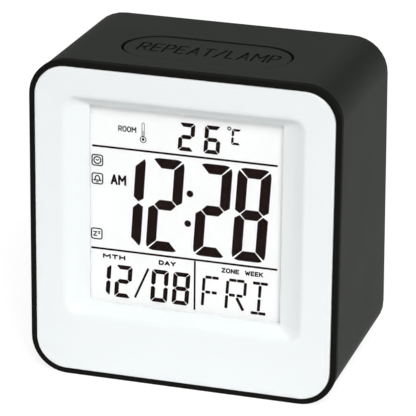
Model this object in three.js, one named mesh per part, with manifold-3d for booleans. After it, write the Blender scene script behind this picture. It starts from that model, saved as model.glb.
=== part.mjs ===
// A bedside alarm clock with a liquid crystal display, in millimetres.
// X runs to the right as seen from the front, Y from the front to the back, and Z up.
// The origin is on the table, midway between the face and the upright back.
import * as THREE from "three";
import { mergeVertices } from "three/addons/utils/BufferGeometryUtils.js";
import Module from "manifold-3d";

const wasm = await Module();
wasm.setup();

// Housing
const caseWidth = 76.5;
const caseHeight = 80;
const caseDepth = 46.5;
const cornerRadius = 9.1;
const wall = 2;
const topFall = 0.95; // the top is this much lower at the back than at the front
const sideDraft = 0.1; // and each side this much further in
const backLean = 4.5; // the walls run this much further back at the table than at the top
const skirtWall = 2.4; // thickness of the walls where they run past the back
const backEdgeRadius = 2;
const innerEdgeRadius = 0.6;
const frameProud = 0.2; // the front frame stands this far outside the rear case

// Front frame
const rimWidth = 1.36;
const rimRound = 0.4;
const frameBand = 1.75;
const grooveWidth = 0.9;
const grooveDepth = 0.55;
const spigotLength = 3;
const spigotGap = 0.15;
const ledgeWidth = 2.2;

// Face panel
const panelGap = 0.1;
const panelProud = 0.2;
const panelThickness = 2.2;
const panelEdgeRound = 0.35;
const recessSide = 8.65; // from the case's sides to the recess
const recessFoot = 15.8; // from the case's underside
const recessHead = 8.2; // and from its top
const recessRadius = 5;
const recessDepth = 2.2;
const recessSoftness = 1.1;
const windowInset = { side: 5.8, end: 3.4 }; // from the recess to the window
const windowRadius = 1;
const windowRim = 0.8;

// Display
const lensThickness = 1;
const lensOverlap = 1.8; // the lens reaches this far under the window's edge
const lensGap = 0.3;
const seatGap = 0.1; // between the flat pieces of the display stack
const glassOverlap = 2.7;
const glassThickness = 2.2;
const guideThickness = 3;
const stripRoom = 5.4; // height at the foot of the glass kept for its contacts
const stripHeight = 2.4;
const stripEnd = 2.5; // from the glass's sides to the strip's ends
const holderWall = 1.5;
const holderGap = 0.15;
const holderFloor = 1.2;
const ledWidth = 3.2;
const ledHeight = 1.6;
const ledDepth = 2.6;
const ledSpacing = 28;

// Main board
const boardThickness = 1.2;
const boardSide = 4.45; // from the case's sides to the board
const boardEnd = 12; // from the case's top and underside to the board
const postDiameter = 5;
const postEdge = 2.2; // from the board's sides to its screws
const postMargin = 8; // and from its lower and upper edges
const chipDiameter = 11;
const chipHeight = 1.6;
const crystalDiameter = 2;
const crystalLength = 6;
const sensorDiameter = 2.4;

// Screws: head diameter, head height, shank diameter, shank length
const caseScrew = { head: 4.4, headHeight: 1.6, shank: 2.2, length: 8 };
const boardScrew = { head: 3.6, headHeight: 1.3, shank: 1.7, length: 5.5 };
const screwGap = 0.1;
const screwRun = 1.4; // free hole past a screw's tip

// Case posts and towers
const towerInset = 6.8; // screw axis from the case's sides, top and underside
const framePostDiameter = 6;
const framePostEnd = 17.25; // from the face to where the post meets the tower
const towerDiameter = 7.4;
const towerFloor = 2.4;
const towerBore = 5.2;

// Snooze key in the top
const snoozeSide = 17.75; // from the case's sides to the key's ends
const snoozeWidth = 17.9;
const snoozeFromFace = 19.2;
const snoozeGap = 0.6;
const snoozeSink = 0.2;
const snoozeSkirt = 5; // height of the key
const snoozeShell = 1.6;
const snoozeLip = 1.4;
const snoozeLipHeight = 1.2;
const keyLipGap = 0.3;
const snoozeStem = 4.6;

// Small push switches
const switchWidth = 6;
const switchHeight = 3.1;
const plungerDiameter = 3.4;
const plungerGap = 0.2;
const plungerProud = 1.4;
const plungerSunk = 1.2;
const plungerRoom = 1; // free bore under a plunger
const pressGap = 0.05;

// Snooze board, in rails under the top
const snoozeBoardDrop = 11; // below the top of the case
const snoozeBoardReach = 5.45; // past the ends of the key
const snoozeBoardWidth = 14.5;
const snoozeBoardGap = 1; // behind the main board
const railThickness = 3;
const railBite = 1.2;
const railFoot = 1.4;
const railGap = 0.1;

// Setting keys in a tray on the back
const keyNames = ["mode_key", "set_key", "up_key", "down_key", "alarm_key"];
const keyRowSide = 16.25; // from the case's sides to the middle of the end keys
const keyRowDrop = 18; // below the top of the case
const keySpacing = 3.4; // between neighbouring caps
const keyWidth = 5.2;
const keyGap = 0.25;
const keyLip = 0.9;
const keyLipHeight = 1;
const keySunk = 0.2; // the caps stay this far inside the back
const trayMargin = 3; // tray floor round the row of caps
const trayDepth = 1.2;
const keyBoardSide = 4.75; // from the case's sides to the key board
const keyBoardHeight = 11;
const keyPostDiameter = 5;
const keyPostEdge = 3; // from the key board's ends to its screws

// Battery bay: two AAA cells side by side
const cellDiameter = 10.5;
const cellLength = 44.5;
const nubDiameter = 3.8;
const nubLength = 1;
const cellSpacing = 11.3;
const cellGap = 0.5;
const bayWall = 1.5;
const bayHeight = 20.9; // middle of the bay above the table
const contactThickness = 0.4;
const contactWidth = 8;
const contactGap = 0.1;
const tailWidth = 2;
const tailProud = 1.5; // how far a contact's tail stands out of the bay's floor
const tailGap = 0.15;
const springLength = 4.6;
const springWire = 0.7;
const springTurns = 3;
const springBase = 7.2;
const springTip = 4.6;

// Battery door
const doorThickness = 1.6;
const doorGap = 0.25;
const doorRadius = 2;
const doorSeat = 0.1;
const hookWidth = 5;
const hookSpacing = 30;
const hookReach = 1.2;
const hookThickness = 1.15;
const tabWidth = 12;
const tabHeight = 3;
const scoopDepth = 1.3;

// Buzzer behind its sound holes
const buzzerClear = 2.8; // from the disc to the battery door and to the key tray
const buzzerThickness = 0.4;
const buzzerChamber = 1.5;
const buzzerRing = 1.4;
const buzzerLedge = 0.9;
const buzzerGap = 0.2;
const soundHole = 1.8;
const soundHoles = 6;

// Leads
const leadDiameter = 1.2;
const stripThickness = 0.7;
const ribbonWidth = 8;
const pairWidth = 2.4;
const leadGap = 0.1;

// Smoothness
const cornerSteps = 8; // round each corner of the housing
const edgeSteps = 4; // round an edge
const curveSegments = 6; // half of the steps round each arc of an outline
const roundSides = 24;
const smallSides = 12;

// Planes and heights that follow from the sizes above
const faceY = -caseDepth / 2;
const backY = caseDepth / 2;
const recessWidth = caseWidth - 2 * recessSide;
const recessHeight = caseHeight - recessFoot - recessHead;
const windowWidth = recessWidth - 2 * windowInset.side;
const windowHeight = recessHeight - 2 * windowInset.end;
const windowMiddle = recessFoot + recessHeight / 2;
const frameFrontY = faceY + panelProud;
const grooveY = frameFrontY + frameBand;
const caseFrontY = grooveY + grooveWidth;
const spigotBackY = caseFrontY + spigotLength;
const ledgeY = faceY + panelThickness;
const panelInset = rimWidth + panelGap;
const windowFrontY = faceY + recessDepth;
const lensFrontY = windowFrontY + windowRim;
const lensBackY = lensFrontY + lensThickness;
const glassFrontY = lensBackY + seatGap;
const glassBackY = glassFrontY + glassThickness;
const guideFrontY = glassBackY + seatGap;
const guideBackY = guideFrontY + guideThickness;
const holderFloorY = guideBackY + seatGap;
const boardFrontY = holderFloorY + holderFloor;
const boardBackY = boardFrontY + boardThickness;
const glassWidth = windowWidth + 2 * glassOverlap;
const glassHeight = windowHeight + 2 * glassOverlap;
const glassFoot = windowMiddle - glassHeight / 2;
const stripLength = glassWidth - 2 * stripEnd;
const guideFoot = glassFoot + stripRoom;
const boardWidth = caseWidth - 2 * boardSide;
const boardHeight = caseHeight - 2 * boardEnd;
const postSpacing = boardWidth - 2 * postEdge;
const backInnerY = backY - wall;
const towerFrontY = faceY + framePostEnd;
const towerSeatY = towerFrontY + towerFloor;
const snoozeY = faceY + snoozeFromFace;
const snoozeLength = caseWidth - 2 * snoozeSide;
const snoozeBoardLength = snoozeLength + 2 * snoozeBoardReach;
const snoozeBoardTop = caseHeight - snoozeBoardDrop;
const snoozeBoardFront = boardBackY + snoozeBoardGap;
const snoozeBoardBack = snoozeBoardFront + snoozeBoardWidth;
const snoozeStemFoot = snoozeBoardTop + switchHeight + plungerProud + pressGap;
const keyPitch = (caseWidth - 2 * keyRowSide) / (keyNames.length - 1);
const keyLength = keyPitch - keySpacing;
const keyRowHeight = caseHeight - keyRowDrop;
const keyBoardWidth = caseWidth - 2 * keyBoardSide;
const keyPostSpacing = keyBoardWidth - 2 * keyPostEdge;
const trayWidth = (keyNames.length - 1) * keyPitch + keyLength + 2 * trayMargin;
const trayHeight = keyWidth + 2 * trayMargin;
const trayFoot = keyRowHeight - trayHeight / 2;
const trayFloorY = backY - trayDepth;
const trayInnerY = trayFloorY - wall;
const keyLipOuterY = trayInnerY - keyLipGap;
const keyInnerY = keyLipOuterY - keyLipHeight;
const keyBoardBackY = keyInnerY - pressGap - plungerProud - switchHeight;
const keyBoardFrontY = keyBoardBackY - boardThickness;
const doorInnerY = backY - doorThickness;
const doorSeatY = doorInnerY - doorSeat;
const cellY = doorInnerY - cellGap - cellDiameter / 2;
const bayLength = cellLength + springLength + 2 * contactThickness + 2 * contactGap;
const bayBackRadius = cellDiameter / 2 + cellGap;
const tailEndY = cellY - bayBackRadius - bayWall - tailProud;
const upperCell = bayHeight + cellSpacing / 2;
const lowerCell = bayHeight - cellSpacing / 2;
const doorWidth = bayLength + 2 * bayWall;
const doorHeight = cellSpacing + 2 * bayBackRadius + 2 * bayWall;
const doorFoot = bayHeight - doorHeight / 2;
const doorTop = bayHeight + doorHeight / 2;
const buzzerHeight = (doorTop + trayFoot) / 2;
const buzzerDiameter = trayFoot - doorTop - 2 * buzzerClear;
const soundCircle = buzzerDiameter / 4;

// Joining and cutting closed bodies
function solid(geometry) {
  const bare = geometry.index ? geometry.toNonIndexed() : geometry.clone();
  bare.deleteAttribute("normal");
  bare.deleteAttribute("uv");
  const merged = mergeVertices(bare, 1e-4);
  const vertProperties = merged.attributes.position.array;
  const triVerts = Uint32Array.from(merged.index.array);
  return new wasm.Manifold(new wasm.Mesh({ numProp: 3, vertProperties, triVerts }));
}

function geometryOf(body) {
  const mesh = body.getMesh();
  const geometry = new THREE.BufferGeometry();
  geometry.setAttribute("position", new THREE.BufferAttribute(mesh.vertProperties, 3));
  geometry.setIndex(new THREE.BufferAttribute(mesh.triVerts, 1));
  return geometry;
}

function join(body, geometries) {
  return geometries.reduce((whole, piece) => whole.add(solid(piece)), body);
}

function cut(body, geometries) {
  return geometries.reduce((rest, tool) => rest.subtract(solid(tool)), body);
}

// Flat outlines. Extruded along Y their second axis is Z, along X they lie in Y and Z.
function roundedRect(width, height, radius, middle = { x: 0, y: 0 }) {
  const right = width / 2 - radius;
  const top = height / 2 - radius;
  const { x, y } = middle;
  const shape = new THREE.Shape();
  shape.absarc(x + right, y + top, radius, 0, Math.PI / 2);
  shape.absarc(x - right, y + top, radius, Math.PI / 2, Math.PI);
  shape.absarc(x - right, y - top, radius, Math.PI, 1.5 * Math.PI);
  shape.absarc(x + right, y - top, radius, 1.5 * Math.PI, 2 * Math.PI);
  return shape;
}

function rectangle(left, bottom, right, top) {
  const shape = new THREE.Shape();
  shape.moveTo(left, bottom);
  shape.lineTo(right, bottom);
  shape.lineTo(right, top);
  shape.lineTo(left, top);
  return shape;
}

function stadium(length, width, middle = { x: 0, y: 0 }) {
  const reach = (length - width) / 2;
  const shape = new THREE.Shape();
  shape.absarc(middle.x + reach, middle.y, width / 2, -Math.PI / 2, Math.PI / 2);
  shape.absarc(middle.x - reach, middle.y, width / 2, Math.PI / 2, 1.5 * Math.PI);
  return shape;
}

function extrude(shape, depth) {
  return new THREE.ExtrudeGeometry(shape, { depth, bevelEnabled: false, curveSegments });
}

function extrudeY(shape, front, back) {
  return extrude(shape, back - front).rotateX(Math.PI / 2).translate(0, back, 0);
}

function extrudeZ(shape, bottom, top) {
  return extrude(shape, top - bottom).translate(0, 0, bottom);
}

const yzPlane = new THREE.Matrix4().makeBasis(
  new THREE.Vector3(0, 1, 0),
  new THREE.Vector3(0, 0, 1),
  new THREE.Vector3(1, 0, 0),
);

function extrudeX(shape, left, right) {
  return extrude(shape, right - left).applyMatrix4(yzPlane).translate(left, 0, 0);
}

function rodY(diameter, front, back, x, z, sides = roundSides) {
  const rod = new THREE.CylinderGeometry(diameter / 2, diameter / 2, back - front, sides);
  return rod.translate(x, (front + back) / 2, z);
}

function revolveY(profile, sides = roundSides) {
  const points = profile.map(([radius, y]) => new THREE.Vector2(radius, y));
  return new THREE.LatheGeometry(points, sides);
}

// Skin over rounded rectangles at successive depths. A closed skin runs back to its first ring,
// as on a frame, and an open one is capped at both ends, as on a block. A leaning ring reaches
// that much further back at the table than at the top of the case.
function roundedRing({ halfWidth, bottom, top, radius, y, lean = 0 }) {
  const corners = [
    [halfWidth - radius, top - radius, 0],
    [radius - halfWidth, top - radius, 0.5],
    [radius - halfWidth, bottom + radius, 1],
    [halfWidth - radius, bottom + radius, 1.5],
  ];
  return corners.flatMap(([x, middle, start]) =>
    Array.from({ length: cornerSteps + 1 }, (_, step) => {
      const angle = Math.PI * (start + step / cornerSteps / 2);
      const z = middle + radius * Math.sin(angle);
      return [x + radius * Math.cos(angle), y + lean * (1 - z / caseHeight), z];
    }),
  );
}

function loft(sections, closed) {
  const rings = sections.map(roundedRing);
  const count = rings[0].length;
  const index = [];
  const last = closed ? rings.length : rings.length - 1;
  for (let ring = 0; ring < last; ring++) {
    const here = ring * count;
    const next = ((ring + 1) % rings.length) * count;
    for (let point = 0; point < count; point++) {
      const after = (point + 1) % count;
      index.push(here + point, next + point, next + after);
      index.push(here + point, next + after, here + after);
    }
  }
  if (!closed) {
    const end = (rings.length - 1) * count;
    for (let point = 1; point < count - 1; point++) {
      index.push(0, point, point + 1);
      index.push(end, end + point + 1, end + point);
    }
  }
  const geometry = new THREE.BufferGeometry();
  geometry.setAttribute("position", new THREE.Float32BufferAttribute(rings.flat(2), 3));
  return geometry.setIndex(index);
}

// Quarter round from 0 to 1: how far in and how far back each step lies.
function quarterRound(steps) {
  return Array.from({ length: steps + 1 }, (_, step) => {
    const angle = (step / steps) * (Math.PI / 2);
    return { across: 1 - Math.cos(angle), along: Math.sin(angle) };
  });
}

// Pieces and their finishes
const clock = new THREE.Group();

const finishes = {
  blackPlastic: { color: 0x2b2d2a, roughness: 0.5, metalness: 0 },
  whiteGloss: { color: 0xf1f4f5, roughness: 0.18, metalness: 0 },
  clear: { color: 0xe9eff0, roughness: 0.05, metalness: 0 },
  glass: { color: 0xe8ece6, roughness: 0.1, metalness: 0 },
  whitePlastic: { color: 0xeeeeea, roughness: 0.5, metalness: 0 },
  rubber: { color: 0xc9a8a0, roughness: 0.8, metalness: 0 },
  board: { color: 0x2f6a3c, roughness: 0.5, metalness: 0 },
  epoxy: { color: 0x151515, roughness: 0.35, metalness: 0 },
  tin: { color: 0xc4c7ca, roughness: 0.3, metalness: 1 },
  steel: { color: 0xa8abad, roughness: 0.35, metalness: 1 },
  brass: { color: 0xc8a24e, roughness: 0.35, metalness: 1 },
  cellJacket: { color: 0x32506e, roughness: 0.35, metalness: 0.3 },
  redLead: { color: 0xb3231e, roughness: 0.6, metalness: 0 },
  blackLead: { color: 0x1b1b1b, roughness: 0.6, metalness: 0 },
  greyLead: { color: 0x9a9c9e, roughness: 0.6, metalness: 0 },
};

function addPiece(name, finish, geometry, parent = clock) {
  const mesh = new THREE.Mesh(geometry, new THREE.MeshStandardMaterial(finishes[finish]));
  mesh.name = name;
  parent.add(mesh);
  return mesh;
}

// Screw towers stand in the four corners
const towers = [-1, 1].flatMap((side) => [
  { x: side * (caseWidth / 2 - towerInset), z: towerInset },
  { x: side * (caseWidth / 2 - towerInset), z: caseHeight - towerInset },
]);

// Front frame: a moulded ring with a rounded rim, the parting groove, a spigot that goes into
// the rear case, a ledge for the face panel and four screw posts.
function frontFrame() {
  const section = (inset, y) => ({
    halfWidth: caseWidth / 2 - inset,
    bottom: inset,
    top: caseHeight - inset,
    radius: cornerRadius - inset,
    y,
  });
  const spigotInset = frameProud + wall + spigotGap;
  const ledgeInset = panelInset + ledgeWidth;
  const rim = quarterRound(edgeSteps).map(({ across, along }) =>
    section(rimRound * (1 - along), frameFrontY + rimRound * across),
  );
  const ring = loft(
    [
      ...rim,
      section(0, grooveY),
      section(grooveDepth, grooveY),
      section(grooveDepth, caseFrontY),
      section(spigotInset, caseFrontY),
      section(spigotInset, spigotBackY),
      section(ledgeInset, spigotBackY),
      section(ledgeInset, ledgeY),
      section(rimWidth, ledgeY),
      section(rimWidth, frameFrontY),
    ],
    true,
  );
  const posts = towers.map(({ x, z }) => rodY(framePostDiameter, ledgeY, towerFrontY, x, z));
  const pilot = caseScrew.shank + 2 * screwGap;
  const depth = caseScrew.length - towerFloor + screwRun;
  const pilots = towers.map(({ x, z }) =>
    rodY(pilot, towerFrontY - depth, towerFrontY + screwRun, x, z, smallSides),
  );
  return geometryOf(cut(join(solid(ring), posts), pilots));
}
addPiece("front_frame", "blackPlastic", frontFrame());

// Face panel: a dished moulding. Its border is flat, its soft-edged slopes run down to the window,
// and its back has the lens seat and four posts for the main board.
const boardScrewPlaces = [-1, 1].flatMap((side) => [
  { x: (side * postSpacing) / 2, z: boardEnd + postMargin },
  { x: (side * postSpacing) / 2, z: boardEnd + boardHeight - postMargin },
]);

function facePanel() {
  const outer = (inset, y) => ({
    halfWidth: caseWidth / 2 - panelInset - inset,
    bottom: panelInset + inset,
    top: caseHeight - panelInset - inset,
    radius: cornerRadius - panelInset - inset,
    y,
  });
  const around = (width, height, radius, grow, y) => ({
    halfWidth: width / 2 + grow,
    bottom: windowMiddle - height / 2 - grow,
    top: windowMiddle + height / 2 + grow,
    radius: Math.max(radius + grow, windowRadius),
    y,
  });
  const recess = (grow, y) => around(recessWidth, recessHeight, recessRadius, grow, y);
  const opening = (grow, y) => around(windowWidth, windowHeight, windowRadius, grow, y);
  const edge = quarterRound(edgeSteps).map(({ across, along }) =>
    outer(panelEdgeRound * across, faceY + panelEdgeRound * (1 - along)),
  );
  const fall = recessDepth / ((recessWidth - windowWidth) / 2);
  const softEdge = Array.from({ length: edgeSteps + 1 }, (_, step) => {
    const along = step / edgeSteps;
    const grow = recessSoftness * (1 - 2 * along);
    return recess(grow, faceY + fall * recessSoftness * along * along);
  });
  const seat = lensOverlap + lensGap;
  const backRim = seat + holderWall + panelEdgeRound;
  const dish = loft(
    [
      outer(0, ledgeY),
      ...edge,
      ...softEdge,
      opening(0, windowFrontY),
      opening(0, lensFrontY),
      opening(seat, lensFrontY),
      opening(seat, lensBackY),
      opening(backRim, lensBackY),
      recess(holderWall, ledgeY),
    ].reverse(),
    true,
  );
  const posts = boardScrewPlaces.map(({ x, z }) =>
    rodY(postDiameter, ledgeY - panelEdgeRound, boardFrontY, x, z),
  );
  const pilot = boardScrew.shank + 2 * screwGap;
  const depth = boardScrew.length - boardThickness + screwRun;
  const pilots = boardScrewPlaces.map(({ x, z }) =>
    rodY(pilot, boardFrontY - depth, boardFrontY + screwRun, x, z, smallSides),
  );
  return geometryOf(cut(join(solid(dish), posts), pilots));
}
addPiece("face_panel", "whiteGloss", facePanel());

// Display stack: lens, liquid crystal glass, light guide and the tray that holds them.
function plate(width, bottom, height, front, back) {
  return extrudeY(rectangle(-width / 2, bottom, width / 2, bottom + height), front, back);
}
const lensShape = roundedRect(
  windowWidth + 2 * lensOverlap,
  windowHeight + 2 * lensOverlap,
  windowRadius + lensOverlap,
  { x: 0, y: windowMiddle },
);
addPiece("window_lens", "clear", extrudeY(lensShape, lensFrontY, lensBackY));
addPiece("lcd_cell", "glass", plate(glassWidth, glassFoot, glassHeight, glassFrontY, glassBackY));
addPiece(
  "light_guide",
  "whitePlastic",
  plate(glassWidth, guideFoot, glassHeight - stripRoom, guideFrontY, guideBackY),
);

function displayHolder() {
  const pocketWidth = glassWidth + 2 * holderGap;
  const pocketFoot = glassFoot - holderGap;
  const pocketHeight = glassHeight + 2 * holderGap;
  const outside = plate(
    pocketWidth + 2 * holderWall,
    pocketFoot - holderWall,
    pocketHeight + 2 * holderWall,
    lensBackY,
    boardFrontY,
  );
  const pocket = plate(pocketWidth, pocketFoot, pocketHeight, lensBackY - wall, holderFloorY);
  const slot = plate(
    stripLength + 2 * holderGap,
    pocketFoot,
    stripRoom + holderGap,
    lensBackY,
    boardFrontY + wall,
  );
  return geometryOf(cut(solid(outside), [pocket, slot]));
}
addPiece("display_holder", "whitePlastic", displayHolder());

const ledFoot = guideFoot - seatGap - ledHeight;
const stripFoot = ledFoot - seatGap - stripHeight;
addPiece(
  "contact_strip",
  "rubber",
  plate(stripLength, stripFoot, stripHeight, glassBackY, boardFrontY),
);
for (const [name, side] of [
  ["backlight_led_left", -1],
  ["backlight_led_right", 1],
]) {
  const led = plate(ledWidth, ledFoot, ledHeight, boardFrontY - ledDepth, boardFrontY);
  addPiece(name, "whitePlastic", led.translate((side * ledSpacing) / 2, 0, 0));
}

// Main board with its parts on the back
function mainBoard() {
  const blank = plate(boardWidth, boardEnd, boardHeight, boardFrontY, boardBackY);
  const hole = boardScrew.shank + 2 * screwGap;
  const holes = boardScrewPlaces.map(({ x, z }) =>
    rodY(hole, boardFrontY - wall, boardBackY + wall, x, z, smallSides),
  );
  return geometryOf(cut(solid(blank), holes));
}
addPiece("main_board", "board", mainBoard());

const boardMiddle = boardEnd + boardHeight / 2;
function chipBlob() {
  const dome = quarterRound(edgeSteps).map(({ across, along }) => [
    (chipDiameter / 2) * (1 - across),
    chipHeight * along,
  ]);
  return revolveY([[0, 0], ...dome]);
}
const chip = addPiece("clock_chip", "epoxy", chipBlob());
chip.position.set(0, boardBackY, boardMiddle - chipDiameter);

const crystalBody = new THREE.CylinderGeometry(
  crystalDiameter / 2,
  crystalDiameter / 2,
  crystalLength,
  smallSides,
);
const crystal = addPiece("quartz_crystal", "tin", crystalBody.rotateZ(Math.PI / 2));
crystal.position.set(-chipDiameter - crystalLength / 2, boardBackY + crystalDiameter / 2, boardMiddle);

const sensor = addPiece(
  "temperature_sensor",
  "epoxy",
  new THREE.SphereGeometry(sensorDiameter / 2, smallSides, smallSides / 2),
);
sensor.position.set(boardWidth / 4, boardBackY + sensorDiameter / 2, boardEnd + sensorDiameter);

// Pan-head screws, head at the origin and shank along +Y
function screw({ head, headHeight, shank, length }) {
  const dome = quarterRound(edgeSteps).map(({ across, along }) => [
    (head / 2) * along,
    -headHeight + (headHeight / 2) * across,
  ]);
  const tip = shank / 2;
  return revolveY(
    [...dome, [head / 2, 0], [shank / 2, 0], [shank / 2, length - tip], [0, length]],
    smallSides,
  );
}

function addScrews(name, size, places, y, forward) {
  places.forEach(({ x, z }, number) => {
    const mesh = addPiece(`${name}_${number + 1}`, "steel", screw(size));
    mesh.position.set(x, y, z);
    if (forward) mesh.rotation.x = Math.PI;
  });
}
addScrews("board_screw", boardScrew, boardScrewPlaces, boardBackY, true);

// Push switch: a square body with a bored top, and the plunger in it, both along +Z
function switchBody() {
  const half = switchWidth / 2;
  const body = extrudeZ(rectangle(-half, -half, half, half), 0, switchHeight);
  const bore = plungerDiameter / 2 + plungerGap;
  const depth = plungerSunk + plungerRoom;
  const hole = new THREE.CylinderGeometry(bore, bore, 2 * depth, smallSides);
  return geometryOf(cut(solid(body), [hole.rotateX(Math.PI / 2).translate(0, 0, switchHeight)]));
}

function switchPlunger() {
  const radius = plungerDiameter / 2;
  const length = plungerProud + plungerSunk;
  const plunger = new THREE.CylinderGeometry(radius, radius, length, smallSides);
  return plunger.rotateX(Math.PI / 2).translate(0, 0, switchHeight - plungerSunk + length / 2);
}

// Rear case. Its section at a depth follows the fall of the top and the draft of the sides.
function caseSection(inset, y) {
  const share = (y - caseFrontY) / (backY - caseFrontY);
  return {
    halfWidth: caseWidth / 2 - frameProud - sideDraft * share - inset,
    bottom: inset,
    top: caseHeight - frameProud - topFall * share - inset,
    radius: cornerRadius - frameProud - inset,
    y,
  };
}

function caseBlock(inset, front, back, edgeRadius, lean = 0) {
  const edge = quarterRound(edgeSteps).map(({ across, along }) => ({
    ...caseSection(inset + edgeRadius * across, back - edgeRadius * (1 - along)),
    lean,
  }));
  return loft([caseSection(inset, front), ...edge], false);
}

// Battery bay outline: two round-bottomed troughs side by side, open towards the door
function bayOutline(radius, openY) {
  const meet = Math.acos(cellSpacing / 2 / radius);
  const shape = new THREE.Shape();
  shape.moveTo(openY, upperCell + radius);
  shape.lineTo(cellY, upperCell + radius);
  shape.absarc(cellY, upperCell, radius, Math.PI / 2, 1.5 * Math.PI - meet);
  shape.absarc(cellY, lowerCell, radius, Math.PI / 2 + meet, 1.5 * Math.PI);
  shape.lineTo(openY, lowerCell - radius);
  return shape;
}

const keyPlaces = keyNames.map((name, number) => ({
  name,
  x: (number - (keyNames.length - 1) / 2) * keyPitch,
}));
const keyPosts = [-keyPostSpacing / 2, keyPostSpacing / 2];
const hookPlaces = [-hookSpacing / 2, hookSpacing / 2];
const railInner = snoozeBoardLength / 2 + railGap - railBite;

// C-shaped rail that hangs from the top and takes one edge of the snooze board from the front
function snoozeRail(side) {
  const slotTop = snoozeBoardTop + railGap;
  const slotFoot = snoozeBoardTop - boardThickness - railGap;
  const shape = new THREE.Shape();
  shape.moveTo(side * railInner, caseHeight - wall - frameProud);
  shape.lineTo(side * railInner, slotTop);
  shape.lineTo(side * (railInner + railBite), slotTop);
  shape.lineTo(side * (railInner + railBite), slotFoot);
  shape.lineTo(side * railInner, slotFoot);
  shape.lineTo(side * railInner, slotFoot - railFoot);
  shape.lineTo(side * (railInner + railThickness), slotFoot - railFoot);
  shape.lineTo(side * (railInner + railThickness), caseHeight - wall - frameProud);
  return extrudeY(shape, snoozeBoardFront, snoozeBoardBack);
}

function buzzerSeat() {
  const inside = buzzerDiameter / 2 + buzzerGap;
  const outside = inside + buzzerRing;
  const seatY = backInnerY - buzzerChamber;
  const frontY = seatY - 2 * buzzerThickness;
  const ring = rodY(2 * outside, frontY, backInnerY + wall / 2, 0, buzzerHeight);
  const pocket = rodY(2 * inside, frontY - wall, seatY, 0, buzzerHeight);
  const chamber = rodY(2 * (inside - buzzerLedge), seatY - wall, backInnerY, 0, buzzerHeight);
  return geometryOf(cut(solid(ring), [pocket, chamber]));
}

// The walls run past the upright back as a skirt that leans out towards the table.
function rearCase() {
  const outside = caseBlock(0, caseFrontY, backY, backEdgeRadius, backLean);
  const behind = caseBlock(skirtWall, backY, backY + backLean + wall, innerEdgeRadius);
  const inside = caseBlock(wall, caseFrontY - wall, backInnerY, innerEdgeRadius);
  const rowMiddle = { x: 0, y: keyRowHeight };
  const trayPad = stadium(trayWidth + 2 * wall, trayHeight + 2 * wall, rowMiddle);
  const bayOuter = bayOutline(bayBackRadius + bayWall, doorSeatY + wall / 4);
  const additions = [
    ...towers.map(({ x, z }) => rodY(towerDiameter, towerFrontY, backInnerY + wall / 2, x, z)),
    ...[-1, 1].map(snoozeRail),
    extrudeY(trayPad, trayInnerY, backInnerY + wall / 2),
    ...keyPosts.map((x) =>
      rodY(keyPostDiameter, keyBoardBackY, backInnerY + wall / 2, x, keyRowHeight),
    ),
    extrudeX(bayOuter, -doorWidth / 2, doorWidth / 2),
    buzzerSeat(),
  ];
  const snoozeHole = stadium(
    snoozeLength + 2 * snoozeGap,
    snoozeWidth + 2 * snoozeGap,
    { x: 0, y: snoozeY },
  );
  const tray = stadium(trayWidth, trayHeight, rowMiddle);
  const doorHole = roundedRect(
    doorWidth + 2 * doorGap,
    doorHeight + 2 * doorGap,
    doorRadius + doorGap,
    { x: 0, y: bayHeight },
  );
  const scoop = stadium(
    tabWidth + 2 * tabHeight,
    2 * (tabHeight + 2 * doorGap),
    { x: 0, y: doorTop },
  );
  const keyPilot = boardScrew.shank + 2 * screwGap;
  const keyPilotEnd = keyBoardBackY + boardScrew.length - boardThickness + screwRun;
  const cuts = [
    behind,
    extrudeZ(snoozeHole, snoozeBoardTop + switchHeight, caseHeight + wall),
    ...towers.map(({ x, z }) => rodY(towerBore, towerSeatY, backY + wall, x, z)),
    ...towers.map(({ x, z }) =>
      rodY(caseScrew.shank + 4 * screwGap, towerFrontY - wall, towerSeatY + wall, x, z, smallSides),
    ),
    extrudeY(tray, trayFloorY, backY + wall),
    ...keyPlaces.map(({ x }) =>
      extrudeY(
        stadium(keyLength + 2 * keyGap, keyWidth + 2 * keyGap, { x, y: keyRowHeight }),
        trayInnerY - wall,
        backY + wall,
      ),
    ),
    ...keyPosts.map((x) =>
      rodY(keyPilot, keyBoardBackY - wall, keyPilotEnd, x, keyRowHeight, smallSides),
    ),
    extrudeX(bayOutline(bayBackRadius, backY + wall), -bayLength / 2, bayLength / 2),
    ...[upperCell, lowerCell].map((height) => {
      const half = tailWidth / 2 + tailGap;
      const slot = rectangle(tailEndY, height - half, cellY, height + half);
      return extrudeX(slot, -bayLength / 2, -bayLength / 2 + contactThickness + tailGap);
    }),
    extrudeY(doorHole, doorSeatY, backY + wall),
    extrudeY(scoop, backY - scoopDepth, backY + wall),
    ...hookPlaces.map((x) => {
      const half = hookWidth / 2 + doorGap;
      const slot = rectangle(x - half, doorFoot - wall, x + half, doorFoot + bayWall + doorGap);
      return extrudeY(slot, backInnerY - 2 * hookThickness - 2 * doorGap, doorInnerY);
    }),
    rodY(soundHole, backInnerY - wall, backY + wall, 0, buzzerHeight, smallSides),
    ...Array.from({ length: soundHoles }, (_, number) => {
      const angle = (2 * Math.PI * number) / soundHoles;
      const x = soundCircle * Math.cos(angle);
      const z = buzzerHeight + soundCircle * Math.sin(angle);
      return rodY(soundHole, backInnerY - wall, backY + wall, x, z, smallSides);
    }),
  ];
  const hollow = solid(outside).subtract(solid(inside));
  return geometryOf(cut(join(hollow, additions).intersect(solid(outside)), cuts));
}
addPiece("rear_case", "blackPlastic", rearCase());
addScrews("case_screw", caseScrew, towers, towerSeatY, true);

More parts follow.
